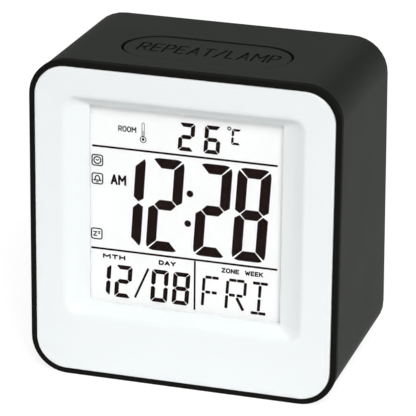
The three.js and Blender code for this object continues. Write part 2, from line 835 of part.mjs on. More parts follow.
// Snooze key: a hollow cap that follows the top of the case, with a lip that keeps it in
// and a stem over its switch.
function snoozeKey() {
  const foot = caseHeight - frameProud - snoozeSkirt;
  const middle = { x: 0, y: snoozeY };
  const lipLength = snoozeLength + 2 * snoozeLip;
  const lipWidth = snoozeWidth + 2 * snoozeLip;
  const below = (inset) => solid(caseBlock(inset, faceY, backY, innerEdgeRadius));
  const cap = solid(extrudeZ(stadium(snoozeLength, snoozeWidth, middle), foot, caseHeight));
  const lip = solid(extrudeZ(stadium(lipLength, lipWidth, middle), foot, foot + snoozeLipHeight));
  const hollowShape = stadium(snoozeLength - 2 * snoozeShell, snoozeWidth - 2 * snoozeShell, middle);
  const hollow = solid(extrudeZ(hollowShape, foot - wall, caseHeight));
  const stemShape = new THREE.Shape().absarc(0, snoozeY, snoozeStem / 2, 0, 2 * Math.PI);
  const stem = solid(extrudeZ(stemShape, snoozeStemFoot, caseHeight));
  const skin = below(snoozeSink);
  const shell = cap.intersect(skin).add(lip.intersect(below(wall + keyLipGap)));
  const roof = below(snoozeSink + snoozeShell);
  return geometryOf(shell.subtract(hollow.intersect(roof)).add(stem.intersect(skin)));
}
addPiece("snooze_key", "blackPlastic", snoozeKey());

const snoozeBoardShape = rectangle(
  -snoozeBoardLength / 2,
  snoozeBoardFront,
  snoozeBoardLength / 2,
  snoozeBoardBack,
);
addPiece(
  "snooze_board",
  "board",
  extrudeZ(snoozeBoardShape, snoozeBoardTop - boardThickness, snoozeBoardTop),
);
addPiece("snooze_switch", "epoxy", switchBody()).position.set(0, snoozeY, snoozeBoardTop);
addPiece("snooze_plunger", "whitePlastic", switchPlunger()).position.set(0, snoozeY, snoozeBoardTop);

// Setting keys, each a cap with a lip inside the tray, over its own switch on the key board
function settingKey(x) {
  const middle = { x, y: keyRowHeight };
  const cap = extrudeY(stadium(keyLength, keyWidth, middle), keyInnerY, backY - keySunk);
  const lipShape = stadium(keyLength + 2 * keyLip, keyWidth + 2 * keyLip, middle);
  return geometryOf(join(solid(cap), [extrudeY(lipShape, keyInnerY, keyLipOuterY)]));
}

for (const { name, x } of keyPlaces) {
  addPiece(name, "blackPlastic", settingKey(x));
  const switchGroup = new THREE.Group();
  switchGroup.position.set(x, keyBoardBackY, keyRowHeight);
  switchGroup.rotation.x = -Math.PI / 2;
  clock.add(switchGroup);
  addPiece(name.replace("key", "switch"), "epoxy", switchBody(), switchGroup);
  addPiece(name.replace("key", "plunger"), "whitePlastic", switchPlunger(), switchGroup);
}

function keyBoard() {
  const foot = keyRowHeight - keyBoardHeight / 2;
  const blank = plate(keyBoardWidth, foot, keyBoardHeight, keyBoardFrontY, keyBoardBackY);
  const hole = boardScrew.shank + 2 * screwGap;
  const holes = keyPosts.map((x) =>
    rodY(hole, keyBoardFrontY - wall, keyBoardBackY + wall, x, keyRowHeight, smallSides),
  );
  return geometryOf(cut(solid(blank), holes));
}
addPiece("key_board", "board", keyBoard());
const keyScrewPlaces = keyPosts.map((x) => ({ x, z: keyRowHeight }));
addScrews("key_board_screw", boardScrew, keyScrewPlaces, keyBoardFrontY, false);

// Battery door: a plate with two hooks at its foot, a finger tab at its head and a rib
// that keeps the cells apart.
function batteryDoor() {
  const leaf = roundedRect(doorWidth, doorHeight, doorRadius, { x: 0, y: bayHeight });
  const tab = stadium(tabWidth, 2 * tabHeight, { x: 0, y: doorTop });
  const hookOuterY = backInnerY - doorGap;
  const hookInnerY = hookOuterY - hookThickness;
  const ribHalf = (cellSpacing - cellDiameter) / 2;
  const rib = rectangle(-cellLength / 3, bayHeight - ribHalf, cellLength / 3, bayHeight + ribHalf);
  const hooks = hookPlaces.flatMap((x) => {
    const left = x - hookWidth / 2;
    const right = x + hookWidth / 2;
    const root = rectangle(left, doorFoot + doorGap, right, doorFoot + bayWall);
    const toe = rectangle(left, doorFoot - hookReach, right, doorFoot + bayWall);
    return [extrudeY(root, hookInnerY, doorInnerY), extrudeY(toe, hookInnerY, hookOuterY)];
  });
  const additions = [
    extrudeY(tab, backY - scoopDepth + doorGap, backY),
    extrudeY(rib, doorInnerY - bayWall, doorInnerY),
    ...hooks,
  ];
  return geometryOf(join(solid(extrudeY(leaf, doorInnerY, backY)), additions));
}
addPiece("battery_door", "blackPlastic", batteryDoor());

// Cells lie head to tail. The upper one has its flat end on the left, the lower one on the right.
function dryCell() {
  const radius = cellDiameter / 2;
  const shoulder = cellLength - nubLength;
  return revolveY([
    [0, 0],
    [radius, 0],
    [radius, shoulder],
    [nubDiameter / 2, shoulder],
    [nubDiameter / 2, cellLength],
    [0, cellLength],
  ]).rotateZ(-Math.PI / 2);
}

class ConeHelix extends THREE.Curve {
  getPoint(along, target = new THREE.Vector3()) {
    const radius = (springBase + (springTip - springBase) * along - springWire) / 2;
    const angle = 2 * Math.PI * springTurns * along;
    const rise = springWire / 2 + (springLength - springWire) * along;
    return target.set(rise, radius * Math.cos(angle), radius * Math.sin(angle));
  }
}

function cellSpring() {
  const wire = new THREE.Shape().absarc(0, 0, springWire / 2, 0, 2 * Math.PI);
  return new THREE.ExtrudeGeometry(wire, {
    extrudePath: new ConeHelix(),
    steps: springTurns * 8,
    curveSegments: 3,
    bevelEnabled: false,
  });
}

// A contact is a tin plate against the bay's end wall. The two on the left have a tail that goes
// out through the floor to a lead, and the one on the right bridges both cells over the ridge.
const contactFront = cellY - contactWidth / 2;
const contactBack = cellY + contactWidth / 2;

function tailedContact(height) {
  const shape = new THREE.Shape();
  shape.moveTo(contactBack, height - contactWidth / 2);
  shape.lineTo(contactBack, height + contactWidth / 2);
  shape.lineTo(contactFront, height + contactWidth / 2);
  shape.lineTo(contactFront, height + tailWidth / 2);
  shape.lineTo(tailEndY, height + tailWidth / 2);
  shape.lineTo(tailEndY, height - tailWidth / 2);
  shape.lineTo(contactFront, height - tailWidth / 2);
  shape.lineTo(contactFront, height - contactWidth / 2);
  return extrudeX(shape, -bayLength / 2, -bayLength / 2 + contactThickness);
}

function bridgeContact() {
  const reach = (cellSpacing + contactWidth) / 2;
  const notch = (cellSpacing - contactWidth) / 2;
  const shape = new THREE.Shape();
  shape.moveTo(contactBack, bayHeight - reach);
  shape.lineTo(contactBack, bayHeight + reach);
  shape.lineTo(contactFront, bayHeight + reach);
  shape.lineTo(contactFront, bayHeight + notch);
  shape.lineTo(cellY, bayHeight + notch);
  shape.lineTo(cellY, bayHeight - notch);
  shape.lineTo(contactFront, bayHeight - notch);
  shape.lineTo(contactFront, bayHeight - reach);
  return extrudeX(shape, bayLength / 2 - contactThickness, bayLength / 2);
}
addPiece("negative_contact", "tin", tailedContact(upperCell));
addPiece("positive_contact", "tin", tailedContact(lowerCell));
addPiece("bridge_contact", "tin", bridgeContact());

const springReach = contactThickness + contactGap / 2 + springLength + contactGap / 2;
for (const [name, spring, height, side] of [
  ["cell_upper", "spring_upper", upperCell, 1],
  ["cell_lower", "spring_lower", lowerCell, -1],
]) {
  const row = new THREE.Group();
  row.position.set((-side * bayLength) / 2, cellY, height);
  if (side < 0) row.rotation.z = Math.PI;
  clock.add(row);
  addPiece(name, "cellJacket", dryCell(), row).position.x = springReach;
  addPiece(spring, "tin", cellSpring(), row).position.x = contactThickness + contactGap / 2;
}

// Buzzer: a brass disc with a smaller ceramic disc on it
function buzzerDisc() {
  const radius = buzzerDiameter / 2;
  return revolveY([
    [0, -buzzerThickness],
    [(radius * 2) / 3, -buzzerThickness],
    [(radius * 2) / 3, -buzzerThickness / 2],
    [radius, -buzzerThickness / 2],
    [radius, 0],
    [0, 0],
  ]);
}
const buzzerY = backInnerY - buzzerChamber;
addPiece("piezo_buzzer", "brass", buzzerDisc()).position.set(0, buzzerY, buzzerHeight);

// Flat leads lie in the Y-Z plane. Those to the back meet both pads squarely in a gentle bend.
const boardPadY = boardBackY + leadGap;

function flatLead(x, width, fromY, fromZ, toZ) {
  const halfway = (boardPadY + fromY) / 2;
  const half = stripThickness / 2;
  const shape = new THREE.Shape();
  shape.moveTo(boardPadY, toZ - half);
  shape.bezierCurveTo(halfway, toZ - half, halfway, fromZ - half, fromY, fromZ - half);
  shape.lineTo(fromY, fromZ + half);
  shape.bezierCurveTo(halfway, fromZ + half, halfway, toZ + half, boardPadY, toZ + half);
  return extrudeX(shape, x - width / 2, x + width / 2);
}

const ribbonPadZ = keyRowHeight - keyBoardHeight / 4;
const ribbonPadY = keyBoardFrontY - leadGap;
addPiece(
  "ribbon_cable",
  "greyLead",
  flatLead(0, ribbonWidth, ribbonPadY, ribbonPadZ, ribbonPadZ - ribbonWidth),
);
const buzzerPadY = buzzerY - buzzerThickness - leadGap;
addPiece(
  "buzzer_lead",
  "greyLead",
  flatLead(0, pairWidth, buzzerPadY, buzzerHeight, buzzerHeight - pairWidth),
);

// The snooze switch's pair drops from its board in a quarter round to the main board
function snoozeLead() {
  const half = stripThickness / 2;
  const padZ = snoozeBoardTop - boardThickness - leadGap;
  const radius = snoozeBoardFront + snoozeBoardWidth / 4 - boardPadY;
  const shape = new THREE.Shape();
  shape.absarc(boardPadY, padZ, radius + half, -Math.PI / 2, 0);
  shape.absarc(boardPadY, padZ, radius - half, 0, -Math.PI / 2, true);
  const left = snoozeBoardLength / 4;
  return extrudeX(shape, left, left + pairWidth);
}
addPiece("snooze_lead", "greyLead", snoozeLead());

// Battery leads are round wires from the contacts' tails
for (const [name, finish, height] of [
  ["battery_lead_negative", "blackLead", upperCell],
  ["battery_lead_positive", "redLead", lowerCell],
]) {
  const tailX = -bayLength / 2 + contactThickness / 2;
  const padX = tailX + leadDiameter;
  const padZ = height + cellDiameter / 2;
  const halfway = (tailEndY + boardPadY) / 2;
  const route = new THREE.CubicBezierCurve3(
    new THREE.Vector3(tailX, tailEndY - leadGap, height),
    new THREE.Vector3(tailX, halfway, height),
    new THREE.Vector3(padX, halfway, padZ),
    new THREE.Vector3(padX, boardPadY, padZ),
  );
  const wire = new THREE.ExtrudeGeometry(
    new THREE.Shape().absarc(0, 0, leadDiameter / 2, 0, 2 * Math.PI),
    { extrudePath: route, steps: smallSides, curveSegments: 4, bevelEnabled: false },
  );
  addPiece(name, finish, wire);
}

export default clock;
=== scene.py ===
import math

import bmesh
import bpy
from mathutils import Matrix, Vector


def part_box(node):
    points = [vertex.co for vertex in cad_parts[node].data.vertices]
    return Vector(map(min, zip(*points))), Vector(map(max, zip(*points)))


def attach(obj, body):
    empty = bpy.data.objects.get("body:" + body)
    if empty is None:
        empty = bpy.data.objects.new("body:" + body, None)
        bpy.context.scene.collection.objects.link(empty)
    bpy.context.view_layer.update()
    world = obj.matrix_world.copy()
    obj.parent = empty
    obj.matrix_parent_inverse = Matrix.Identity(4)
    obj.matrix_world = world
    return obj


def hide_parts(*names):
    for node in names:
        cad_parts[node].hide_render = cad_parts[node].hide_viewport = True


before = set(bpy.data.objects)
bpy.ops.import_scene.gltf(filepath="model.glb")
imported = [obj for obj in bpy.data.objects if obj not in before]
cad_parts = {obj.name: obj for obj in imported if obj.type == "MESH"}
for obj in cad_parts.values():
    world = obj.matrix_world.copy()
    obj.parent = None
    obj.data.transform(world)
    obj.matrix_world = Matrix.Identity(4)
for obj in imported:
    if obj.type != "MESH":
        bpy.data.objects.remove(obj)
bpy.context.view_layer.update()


# Front frame: the narrow black ring round the face, a smooth ABS moulding with a rounded rim.
# Its spigot plugs into the rear case and leaves a thin parting groove behind the rim, and its
# four posts take the case screws.
MM = 0.001


def extent(node):
    """Lowest and highest corner of a CAD piece at rest, in millimetres."""
    low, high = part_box(node)
    return low / MM, high / MM


def centre(node):
    """Middle of a CAD piece's box at rest, in millimetres."""
    low, high = extent(node)
    return (low + high) / 2


FRAME_LOW, FRAME_HIGH = extent("front_frame")
CASE_LOW, CASE_HIGH = extent("rear_case")
HOUSING = (FRAME_HIGH.x, FRAME_LOW.z, FRAME_HIGH.z, 9.1)  # half width, foot, head, corner radius
RIM_WIDTH = 1.36
RIM_ROUND = 0.4
RIM_BREAK = 0.12
BAND_BACK_Y = -21.3
BAND_BREAK = 0.1
GROOVE_DEPTH = 0.55
SPIGOT_INSET = 2.35
SPIGOT_BACK_Y = -17.4
LEDGE_INSET = 3.66
LEDGE_Y = -21.05
CASE_POST_DIAMETER = 6.0
CASE_POST_FRONT_Y = -21.0
CORNER_STEPS = 12
POST_SIDES = 32
WELD = 1e-7
GRAIN_SOCKETS = ("Grain size mm", "Cloud size mm", "Gloss", "Gloss drift")


def grain_group():
    """Fine moulded texture: a bump height, a tint and a gloss that all wander a little."""
    group = bpy.data.node_groups.new("Moulded grain", "ShaderNodeTree")
    for name in GRAIN_SOCKETS:
        group.interface.new_socket(name, in_out="INPUT", socket_type="NodeSocketFloat")
    for name in ("Height", "Tint", "Roughness"):
        group.interface.new_socket(name, in_out="OUTPUT", socket_type="NodeSocketFloat")
    nodes, links = group.nodes, group.links
    inlet, outlet = nodes.new("NodeGroupInput"), nodes.new("NodeGroupOutput")
    place = nodes.new("ShaderNodeTexCoord")

    def cloud(size, detail):
        scale = nodes.new("ShaderNodeMath")
        scale.operation = "DIVIDE"
        scale.inputs[0].default_value = 1 / MM
        links.new(inlet.outputs[size], scale.inputs[1])
        noise = nodes.new("ShaderNodeTexNoise")
        noise.inputs["Detail"].default_value = detail
        links.new(place.outputs["Object"], noise.inputs["Vector"])
        links.new(scale.outputs[0], noise.inputs["Scale"])
        return noise.outputs["Fac"]

    fine = cloud("Grain size mm", 2.0)
    broad = cloud("Cloud size mm", 4.0)
    links.new(fine, outlet.inputs["Height"])
    links.new(broad, outlet.inputs["Tint"])
    centred = nodes.new("ShaderNodeMath")
    centred.operation = "SUBTRACT"
    centred.inputs[1].default_value = 0.5
    links.new(broad, centred.inputs[0])
    drift = nodes.new("ShaderNodeMath")
    drift.operation = "MULTIPLY_ADD"
    links.new(centred.outputs[0], drift.inputs[0])
    links.new(inlet.outputs["Gloss drift"], drift.inputs[1])
    links.new(inlet.outputs["Gloss"], drift.inputs[2])
    links.new(drift.outputs[0], outlet.inputs["Roughness"])
    return group


GRAIN = grain_group()


def textured(name, gloss, drift, grain, cloud, bump):
    """Principled material with the moulded grain on its gloss and relief, and its grain node."""
    material = bpy.data.materials.new(name)
    material.use_nodes = True
    nodes, links = material.node_tree.nodes, material.node_tree.links
    shader = nodes["Principled BSDF"]
    texture = nodes.new("ShaderNodeGroup")
    texture.node_tree = GRAIN
    for socket, value in zip(GRAIN_SOCKETS, (grain, cloud, gloss, drift)):
        texture.inputs[socket].default_value = value
    relief = nodes.new("ShaderNodeBump")
    relief.inputs["Distance"].default_value = bump * MM
    links.new(texture.outputs["Roughness"], shader.inputs["Roughness"])
    links.new(texture.outputs["Height"], relief.inputs["Height"])
    links.new(relief.outputs["Normal"], shader.inputs["Normal"])
    return material, shader, texture


def mixed(material, factor, dark, light):
    """Colour that runs from one tone to another with a factor."""
    tone = material.node_tree.nodes.new("ShaderNodeMix")
    tone.data_type = "RGBA"
    for socket, colour in (("A", dark), ("B", light)):
        if isinstance(colour, tuple):
            tone.inputs[socket].default_value = (*colour, 1)
        else:
            material.node_tree.links.new(colour, tone.inputs[socket])
    material.node_tree.links.new(factor, tone.inputs["Factor"])
    return tone.outputs["Result"]


def plastic(
    name, dark, light, gloss, drift=0.1, grain=0.3, cloud=18.0, bump=0.02, shine=0.5, tint=(1, 1, 1)
):
    """Moulded plastic whose colour wanders between two close tones, with a bump of that many mm."""
    material, shader, texture = textured(name, gloss, drift, grain, cloud, bump)
    shader.inputs["Specular IOR Level"].default_value = shine
    shader.inputs["Specular Tint"].default_value = (*tint, 1)
    colour = mixed(material, texture.outputs["Tint"], dark, light)
    material.node_tree.links.new(colour, shader.inputs["Base Color"])
    return material


def dress(material, *names):
    """Gives CAD pieces that keep their own shape their finish."""
    for name in names:
        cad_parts[name].material_slots[0].material = material


rim_black = plastic(
    "rim_black",
    dark=(0.0078, 0.0078, 0.0068),
    light=(0.0092, 0.0092, 0.0082),
    gloss=0.5,
    bump=0.004,
    shine=0.01,
)


def rounded_loop(bm, half_width, foot, head, radius, y):
    """Edges of a rounded rectangle standing at that depth, made by rounding the corners of a face."""
    old_edges, old_faces = set(bm.edges), set(bm.faces)
    corners = ((half_width, foot), (half_width, head), (-half_width, head), (-half_width, foot))
    verts = [bm.verts.new((x * MM, y * MM, z * MM)) for x, z in corners]
    bm.faces.new(verts)
    bmesh.ops.bevel(
        bm,
        geom=verts,
        offset=radius * MM,
        segments=CORNER_STEPS,
        profile=0.5,
        affect="VERTICES",
        material=-1,
    )
    bmesh.ops.delete(bm, geom=[f for f in bm.faces if f not in old_faces], context="FACES_ONLY")
    return [e for e in bm.edges if e not in old_edges]


def slide(vert, here, there):
    """Moves a point of one rounded rectangle to the same place on another."""
    half, foot, head, radius, _ = here
    new_half, new_foot, new_head, new_radius, y = there
    middle, tall = (foot + head) / 2 * MM, (head - foot) / 2 * MM
    new_middle, new_tall = (new_foot + new_head) / 2 * MM, (new_head - new_foot) / 2 * MM
    across = (abs(vert.co.x) - (half - radius) * MM) / radius
    along = (abs(vert.co.z - middle) - (tall - radius * MM)) / radius
    x = (new_half - new_radius) * MM + new_radius * across
    z = new_tall - new_radius * MM + new_radius * along
    vert.co = (math.copysign(x, vert.co.x), y * MM, new_middle + math.copysign(z, vert.co.z - middle))


def loft(bm, sections, closed=False):
    """Skin over rounded rectangles, each given as half width, foot, head, radius and depth.

    A closed skin runs back to its first loop, and an open one gets a face at both ends.
    """
    first = loop = rounded_loop(bm, *sections[0])
    following = sections[1:] + sections[:1] if closed else sections[1:]
    for here, there in zip(sections, following):
        grown = bmesh.ops.extrude_edge_only(bm, edges=loop)["geom"]
        verts = {v for v in grown if isinstance(v, bmesh.types.BMVert)}
        for vert in verts:
            slide(vert, here, there)
        loop = [e for e in grown if isinstance(e, bmesh.types.BMEdge) and set(e.verts) <= verts]
    if not closed:
        for end in (first, loop):
            bmesh.ops.edgeloop_fill(bm, edges=end)
    bmesh.ops.remove_doubles(bm, verts=bm.verts[:], dist=WELD)
    bmesh.ops.recalc_face_normals(bm, faces=bm.faces[:])


def section(outline, inset, y):
    """Section for a skin: an outline drawn in by that much, at a depth."""
    half_width, foot, head, radius = outline
    return (half_width - inset, foot + inset, head - inset, radius - inset, y)


def quarter(steps):
    """Steps of a quarter round: how far across and how far along, from 0 to 1."""
    angles = [math.pi / 2 * step / steps for step in range(steps + 1)]
    return [(1 - math.cos(angle), math.sin(angle)) for angle in angles]


def post(bm, diameter, length, place):
    """Round post about its place, along the place's own height."""
    bmesh.ops.create_cone(
        bm,
        cap_ends=True,
        segments=POST_SIDES,
        radius1=diameter / 2 * MM,
        radius2=diameter / 2 * MM,
        depth=length * MM,
        matrix=place,
    )


def upright_place(x, y, z):
    """Place that stands up a shape made lying down."""
    return Matrix.Translation((x * MM, y * MM, z * MM)) @ Matrix.Rotation(math.pi / 2, 4, "X")


def screw_post(bm, screw, diameter, front, back):
    """Post along the depth in line with a screw."""
    place = centre(screw)
    post(bm, diameter, back - front, upright_place(place.x, (front + back) / 2, place.z))


def finished(name, bm, materials, body, slot, *nodes, crease=40):
    """Object from a bmesh: smooth but for its creases, riding on its body."""
    mesh = bpy.data.meshes.new(name)
    bm.to_mesh(mesh)
    bm.free()
    for material in materials if isinstance(materials, list) else [materials]:
        mesh.materials.append(material)
    mesh.shade_smooth()
    mesh.set_sharp_from_angle(angle=math.radians(crease))
    piece = bpy.data.objects.new(name, mesh)
    bpy.context.scene.collection.objects.link(piece)
    normals = piece.modifiers.new("Flat faces stay flat", "WEIGHTED_NORMAL")
    normals.keep_sharp = True
    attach(piece, body)
    if nodes:
        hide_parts(*nodes)


bm = bmesh.new()
rim = [
    section(HOUSING, RIM_ROUND * (1 - along), FRAME_LOW.y + RIM_ROUND * across)
    for across, along in quarter(5)
]
loft(
    bm,
    rim
    + [
        section(HOUSING, 0, BAND_BACK_Y - BAND_BREAK),
        section(HOUSING, BAND_BREAK, BAND_BACK_Y),
        section(HOUSING, GROOVE_DEPTH, BAND_BACK_Y),
        section(HOUSING, GROOVE_DEPTH, CASE_LOW.y),
        section(HOUSING, SPIGOT_INSET, CASE_LOW.y),
        section(HOUSING, SPIGOT_INSET, SPIGOT_BACK_Y),
        section(HOUSING, LEDGE_INSET, SPIGOT_BACK_Y),
        section(HOUSING, LEDGE_INSET, LEDGE_Y),
        section(HOUSING, RIM_WIDTH, LEDGE_Y),
        section(HOUSING, RIM_WIDTH, FRAME_LOW.y + RIM_BREAK),
        section(HOUSING, RIM_WIDTH - RIM_BREAK, FRAME_LOW.y),
    ],
    closed=True,
)
for number in range(1, 5):
    screw_post(bm, f"case_screw_{number}", CASE_POST_DIAMETER, CASE_POST_FRONT_Y, FRAME_HIGH.y)
finished("frame_ring", bm, rim_black, "clock_body", "black_plastic", "front_frame")


# Face panel: the white gloss moulding that drops into the frame. Its border is flat, soft-edged
# slopes run down to the window, and posts on its back carry the main board.
PANEL_LOW, PANEL_HIGH = extent("face_panel")
LENS_LOW, LENS_HIGH = extent("window_lens")
FACE_Y = PANEL_LOW.y
PANEL_INSET = FRAME_HIGH.x - PANEL_HIGH.x
PANEL_ROUND = 0.35
RECESS = (29.6, 15.8, 71.8, 3.4)
RECESS_DEPTH = 2.16
RECESS_SOFTNESS = 0.6
RECESS_MARGIN = 1.5
SCOOP = 0.35
SLOPE_STEPS = 8
WINDOW = (23.8, 19.0, 69.1, 0.6)
WINDOW_BREAK = 0.08
WINDOW_RIM_Y = -21.0
LENS_PLAY_SIDE = 0.3
LENS_PLAY_END = 0.5
LENS_POCKET = (LENS_HIGH.x + LENS_PLAY_SIDE, LENS_LOW.z - LENS_PLAY_END, LENS_HIGH.z + LENS_PLAY_END, 2.7)
POCKET_WALL = 1.85
BOARD_POST_DIAMETER = 5.0
BOARD_POST_FRONT_Y = -21.2
white_gloss = plastic(
    "white_gloss",
    dark=(0.815, 0.845, 0.850),
    light=(0.823, 0.853, 0.858),
    gloss=0.28,
    drift=0.02,
    grain=0.9,
    cloud=30,
    bump=0.003,
)


def slope_section(head, foot, share):
    """Part of the way down the slope, which is steeper at its head than at the window."""
    level = [start + (end - start) * share for start, end in zip(head[:4], foot[:4])]
    fall = share + SCOOP * share * (1 - share)
    return (*level, head[4] + (foot[4] - head[4]) * fall)


bm = bmesh.new()
panel_edge = [
    section(HOUSING, PANEL_INSET + PANEL_ROUND * across, FACE_Y + PANEL_ROUND * (1 - along))
    for across, along in quarter(6)
]
soft_fall = RECESS_SOFTNESS * RECESS_DEPTH * (1 + SCOOP) / (RECESS[0] - WINDOW[0])
soft_edge = [
    section(RECESS, RECESS_SOFTNESS * (2 * share - 1), FACE_Y + soft_fall * share**2)
    for share in (step / SLOPE_STEPS for step in range(SLOPE_STEPS + 1))
]
slope_foot = section(WINDOW, -WINDOW_BREAK, FACE_Y + RECESS_DEPTH)
slope = [slope_section(soft_edge[-1], slope_foot, step / SLOPE_STEPS) for step in range(1, SLOPE_STEPS + 1)]
loft(
    bm,
    [section(HOUSING, PANEL_INSET, LEDGE_Y)]
    + panel_edge
    + soft_edge
    + slope
    + [
        section(WINDOW, 0, WINDOW_RIM_Y),
        section(WINDOW, 0, LENS_LOW.y),
        section(LENS_POCKET, 0, LENS_LOW.y),
        section(LENS_POCKET, 0, LENS_HIGH.y),
        section(LENS_POCKET, -POCKET_WALL, LENS_HIGH.y),
        section(RECESS, -RECESS_MARGIN, LEDGE_Y),
    ],
    closed=True,
)
for number in range(1, 5):
    screw_post(bm, f"board_screw_{number}", BOARD_POST_DIAMETER, BOARD_POST_FRONT_Y, PANEL_HIGH.y)
finished("dished_panel", bm, white_gloss, "clock_body", "white_gloss", "face_panel", crease=50)


# Window lens: a flat sheet of clear acrylic, cut to size. It sits in a pocket behind the panel's
# window and shows only as a faint sheen over the display.
LENS_ALPHA = 0.015
clear_acrylic = plastic(
    "clear_acrylic", (0.10, 0.10, 0.10), (0.12, 0.12, 0.12), gloss=0.08, drift=0.04, cloud=12, bump=0.0
)
clear_acrylic.node_tree.nodes["Principled BSDF"].inputs["Alpha"].default_value = LENS_ALPHA
dress(clear_acrylic, "window_lens")


# Display: a positive liquid crystal cell between two sheets of glass. A painted white glow stands for its
# backlight and also lightens the shade under the window's edge. Its segments, the plain numbers and signs
# they show, and the printed words under them are nearly black.
GLASS_Y = extent("lcd_cell")[0].y
PAINTED_GLASS_GLOW = 0.17
MARK_THICKNESS = 0.04
MARK_SHIFT = (-0.12, 0, 0.12)
DISC_SIDES = 28
SLANT = 0.062
HOUR_DIGIT = {"foot": 33.3, "width": 8.3, "height": 23.52, "stroke": 2.5, "gap": 0.45}
ROOM_DIGIT = {"foot": 59.3, "width": 3.95, "height": 7.05, "stroke": 1.0, "gap": 0.2}
UNIT_LETTER = {"foot": 62.2, "width": 2.35, "height": 3.95, "stroke": 0.58, "gap": 0.2}
DATE_DIGIT = {"foot": 20.0, "width": 4.25, "height": 8.4, "stroke": 1.08, "gap": 0.22}
LABEL_FOOT = 29.7
LABEL_CAP = 1.22
display_white = plastic(
    "display_white",
    dark=(0.785, 0.795, 0.79),
    light=(0.815, 0.82, 0.815),
    gloss=0.35,
    drift=0.05,
    grain=0.5,
    cloud=25,
    bump=0.001,
)
lit = display_white.node_tree.nodes["Principled BSDF"]
# painted glow: it brightens the display's white and lightens the shade under the window's edge
lit.inputs["Emission Color"].default_value = (1, 1, 1, 1)
lit.inputs["Emission Strength"].default_value = PAINTED_GLASS_GLOW
dress(display_white, "lcd_cell")
display_dark = plastic(
    "display_dark", (0.0090, 0.0036, 0.0030), (0.0115, 0.0048, 0.0040), gloss=0.6, bump=0.0, shine=0.03
)


def raise_mark(bm, face, outline):
    """Gives a flat mark on the glass its thickness, whole or as an outline of that width."""
    old = set(bm.faces) - {face}
    if outline:
        bmesh.ops.inset_region(
            bm, faces=[face], thickness=outline * MM, use_boundary=True, use_even_offset=True
        )
        bmesh.ops.delete(bm, geom=[face], context="FACES_ONLY")
    fresh = [f for f in bm.faces if f not in old]
    raised = bmesh.ops.extrude_face_region(bm, geom=fresh)["geom"]
    verts = [v for v in raised if isinstance(v, bmesh.types.BMVert)]
    bmesh.ops.translate(bm, vec=(0, -MARK_THICKNESS * MM, 0), verts=verts)


def mark(bm, points, rounding=0.0, outline=0.0):
    """Mark from its corners in millimetres across and up."""
    verts = [bm.verts.new((x * MM, GLASS_Y * MM, z * MM)) for x, z in points]
    face = bm.faces.new(verts)
    if rounding:
        old = set(bm.faces) - {face}
        bmesh.ops.bevel(
            bm, geom=verts, offset=rounding * MM, segments=3, profile=0.5, affect="VERTICES", material=-1
        )
        face = next(f for f in bm.faces if f not in old)
    raise_mark(bm, face, outline)


def disc(bm, x, z, radius, outline=0.0):
    """Round mark, whole or a ring."""
    circle = bmesh.ops.create_circle(
        bm, cap_ends=True, segments=DISC_SIDES, radius=radius * MM, matrix=upright_place(x, GLASS_Y, z)
    )
    raise_mark(bm, circle["verts"][0].link_faces[0], outline)


def line(bm, start, end, width, rounding=0.0, reach=0.0):
    """Straight bar between two points, or reaching past them."""
    run = Vector(end) - Vector(start)
    along = run.normalized()
    (x0, z0), (x1, z1) = Vector(start) - along * reach, Vector(end) + along * reach
    sx, sz = -along.y * width / 2, along.x * width / 2
    mark(bm, [(x0 + sx, z0 + sz), (x0 - sx, z0 - sz), (x1 - sx, z1 - sz), (x1 + sx, z1 + sz)], rounding)


SEGMENTS = {
    "0": "abcdef", "1": "bc", "2": "abged", "3": "abgcd", "4": "fgbc", "5": "afgcd",
    "6": "afgedc", "7": "abc", "8": "abcdefg", "9": "abcdfg", "C": "afed",
}


def digit(bm, character, left, foot, width, height, stroke, gap):
    """Seven mitred segments in a leaning frame, of which the character's own are drawn."""
    half, slit = height / 2, gap / 2
    inner, point = stroke + slit * 0.6, stroke / 2 + slit
    # the outer corner of a digit is round, so a bar ends in part of an arc
    turn = stroke * 0.72
    bend = [(turn * 0.58, turn * 0.095), (turn * 0.29 + slit * 0.7, turn * 0.29 - slit * 0.7)]

    def lean(u, v):
        return left + u + SLANT * (v - half), foot + v

    def level(v, up):
        # a bar at the head or the foot, mitred against the uprights
        return [
            (turn, v),
            (width - turn, v),
            *[(width - along, v - up * drop) for along, drop in bend],
            (width - inner, v - up * stroke),
            (inner, v - up * stroke),
            *[(along, v - up * drop) for along, drop in reversed(bend)],
        ]

    def upright(u, inward, end, up):
        # a bar from the head or the foot to the middle
        return [
            (u, end - up * turn),
            *[(u + inward * drop, end - up * along) for along, drop in bend],
            (u + inward * stroke, end - up * inner),
            (u + inward * stroke, half + up * (inner - stroke / 2)),
            (u + inward * stroke / 2, half + up * slit),
            (u, half + up * (stroke * 0.32 + slit)),
        ]

    middle = [
        (point, half),
        (inner, half + stroke / 2),
        (width - inner, half + stroke / 2),
        (width - point, half),
        (width - inner, half - stroke / 2),
        (inner, half - stroke / 2),
    ]
    shapes = {
        "a": level(height, 1),
        "b": upright(width, -1, height, 1),
        "c": upright(width, -1, 0, -1),
        "d": level(0, -1),
        "e": upright(0, 1, 0, -1),
        "f": upright(0, 1, height, 1),
        "g": middle,
    }
    for name in SEGMENTS[character]:
        mark(bm, [lean(u, v) for u, v in shapes[name]], rounding=stroke * 0.04)


LETTER_STROKE = 0.74
LETTER_ROUND = 0.22
LETTER_PARTS = {
    "F": ["top", "left", "middle"],
    "R": ["top", "left", "middle", "upper right", "leg"],
    "I": ["top", "foot", "centre"],
}


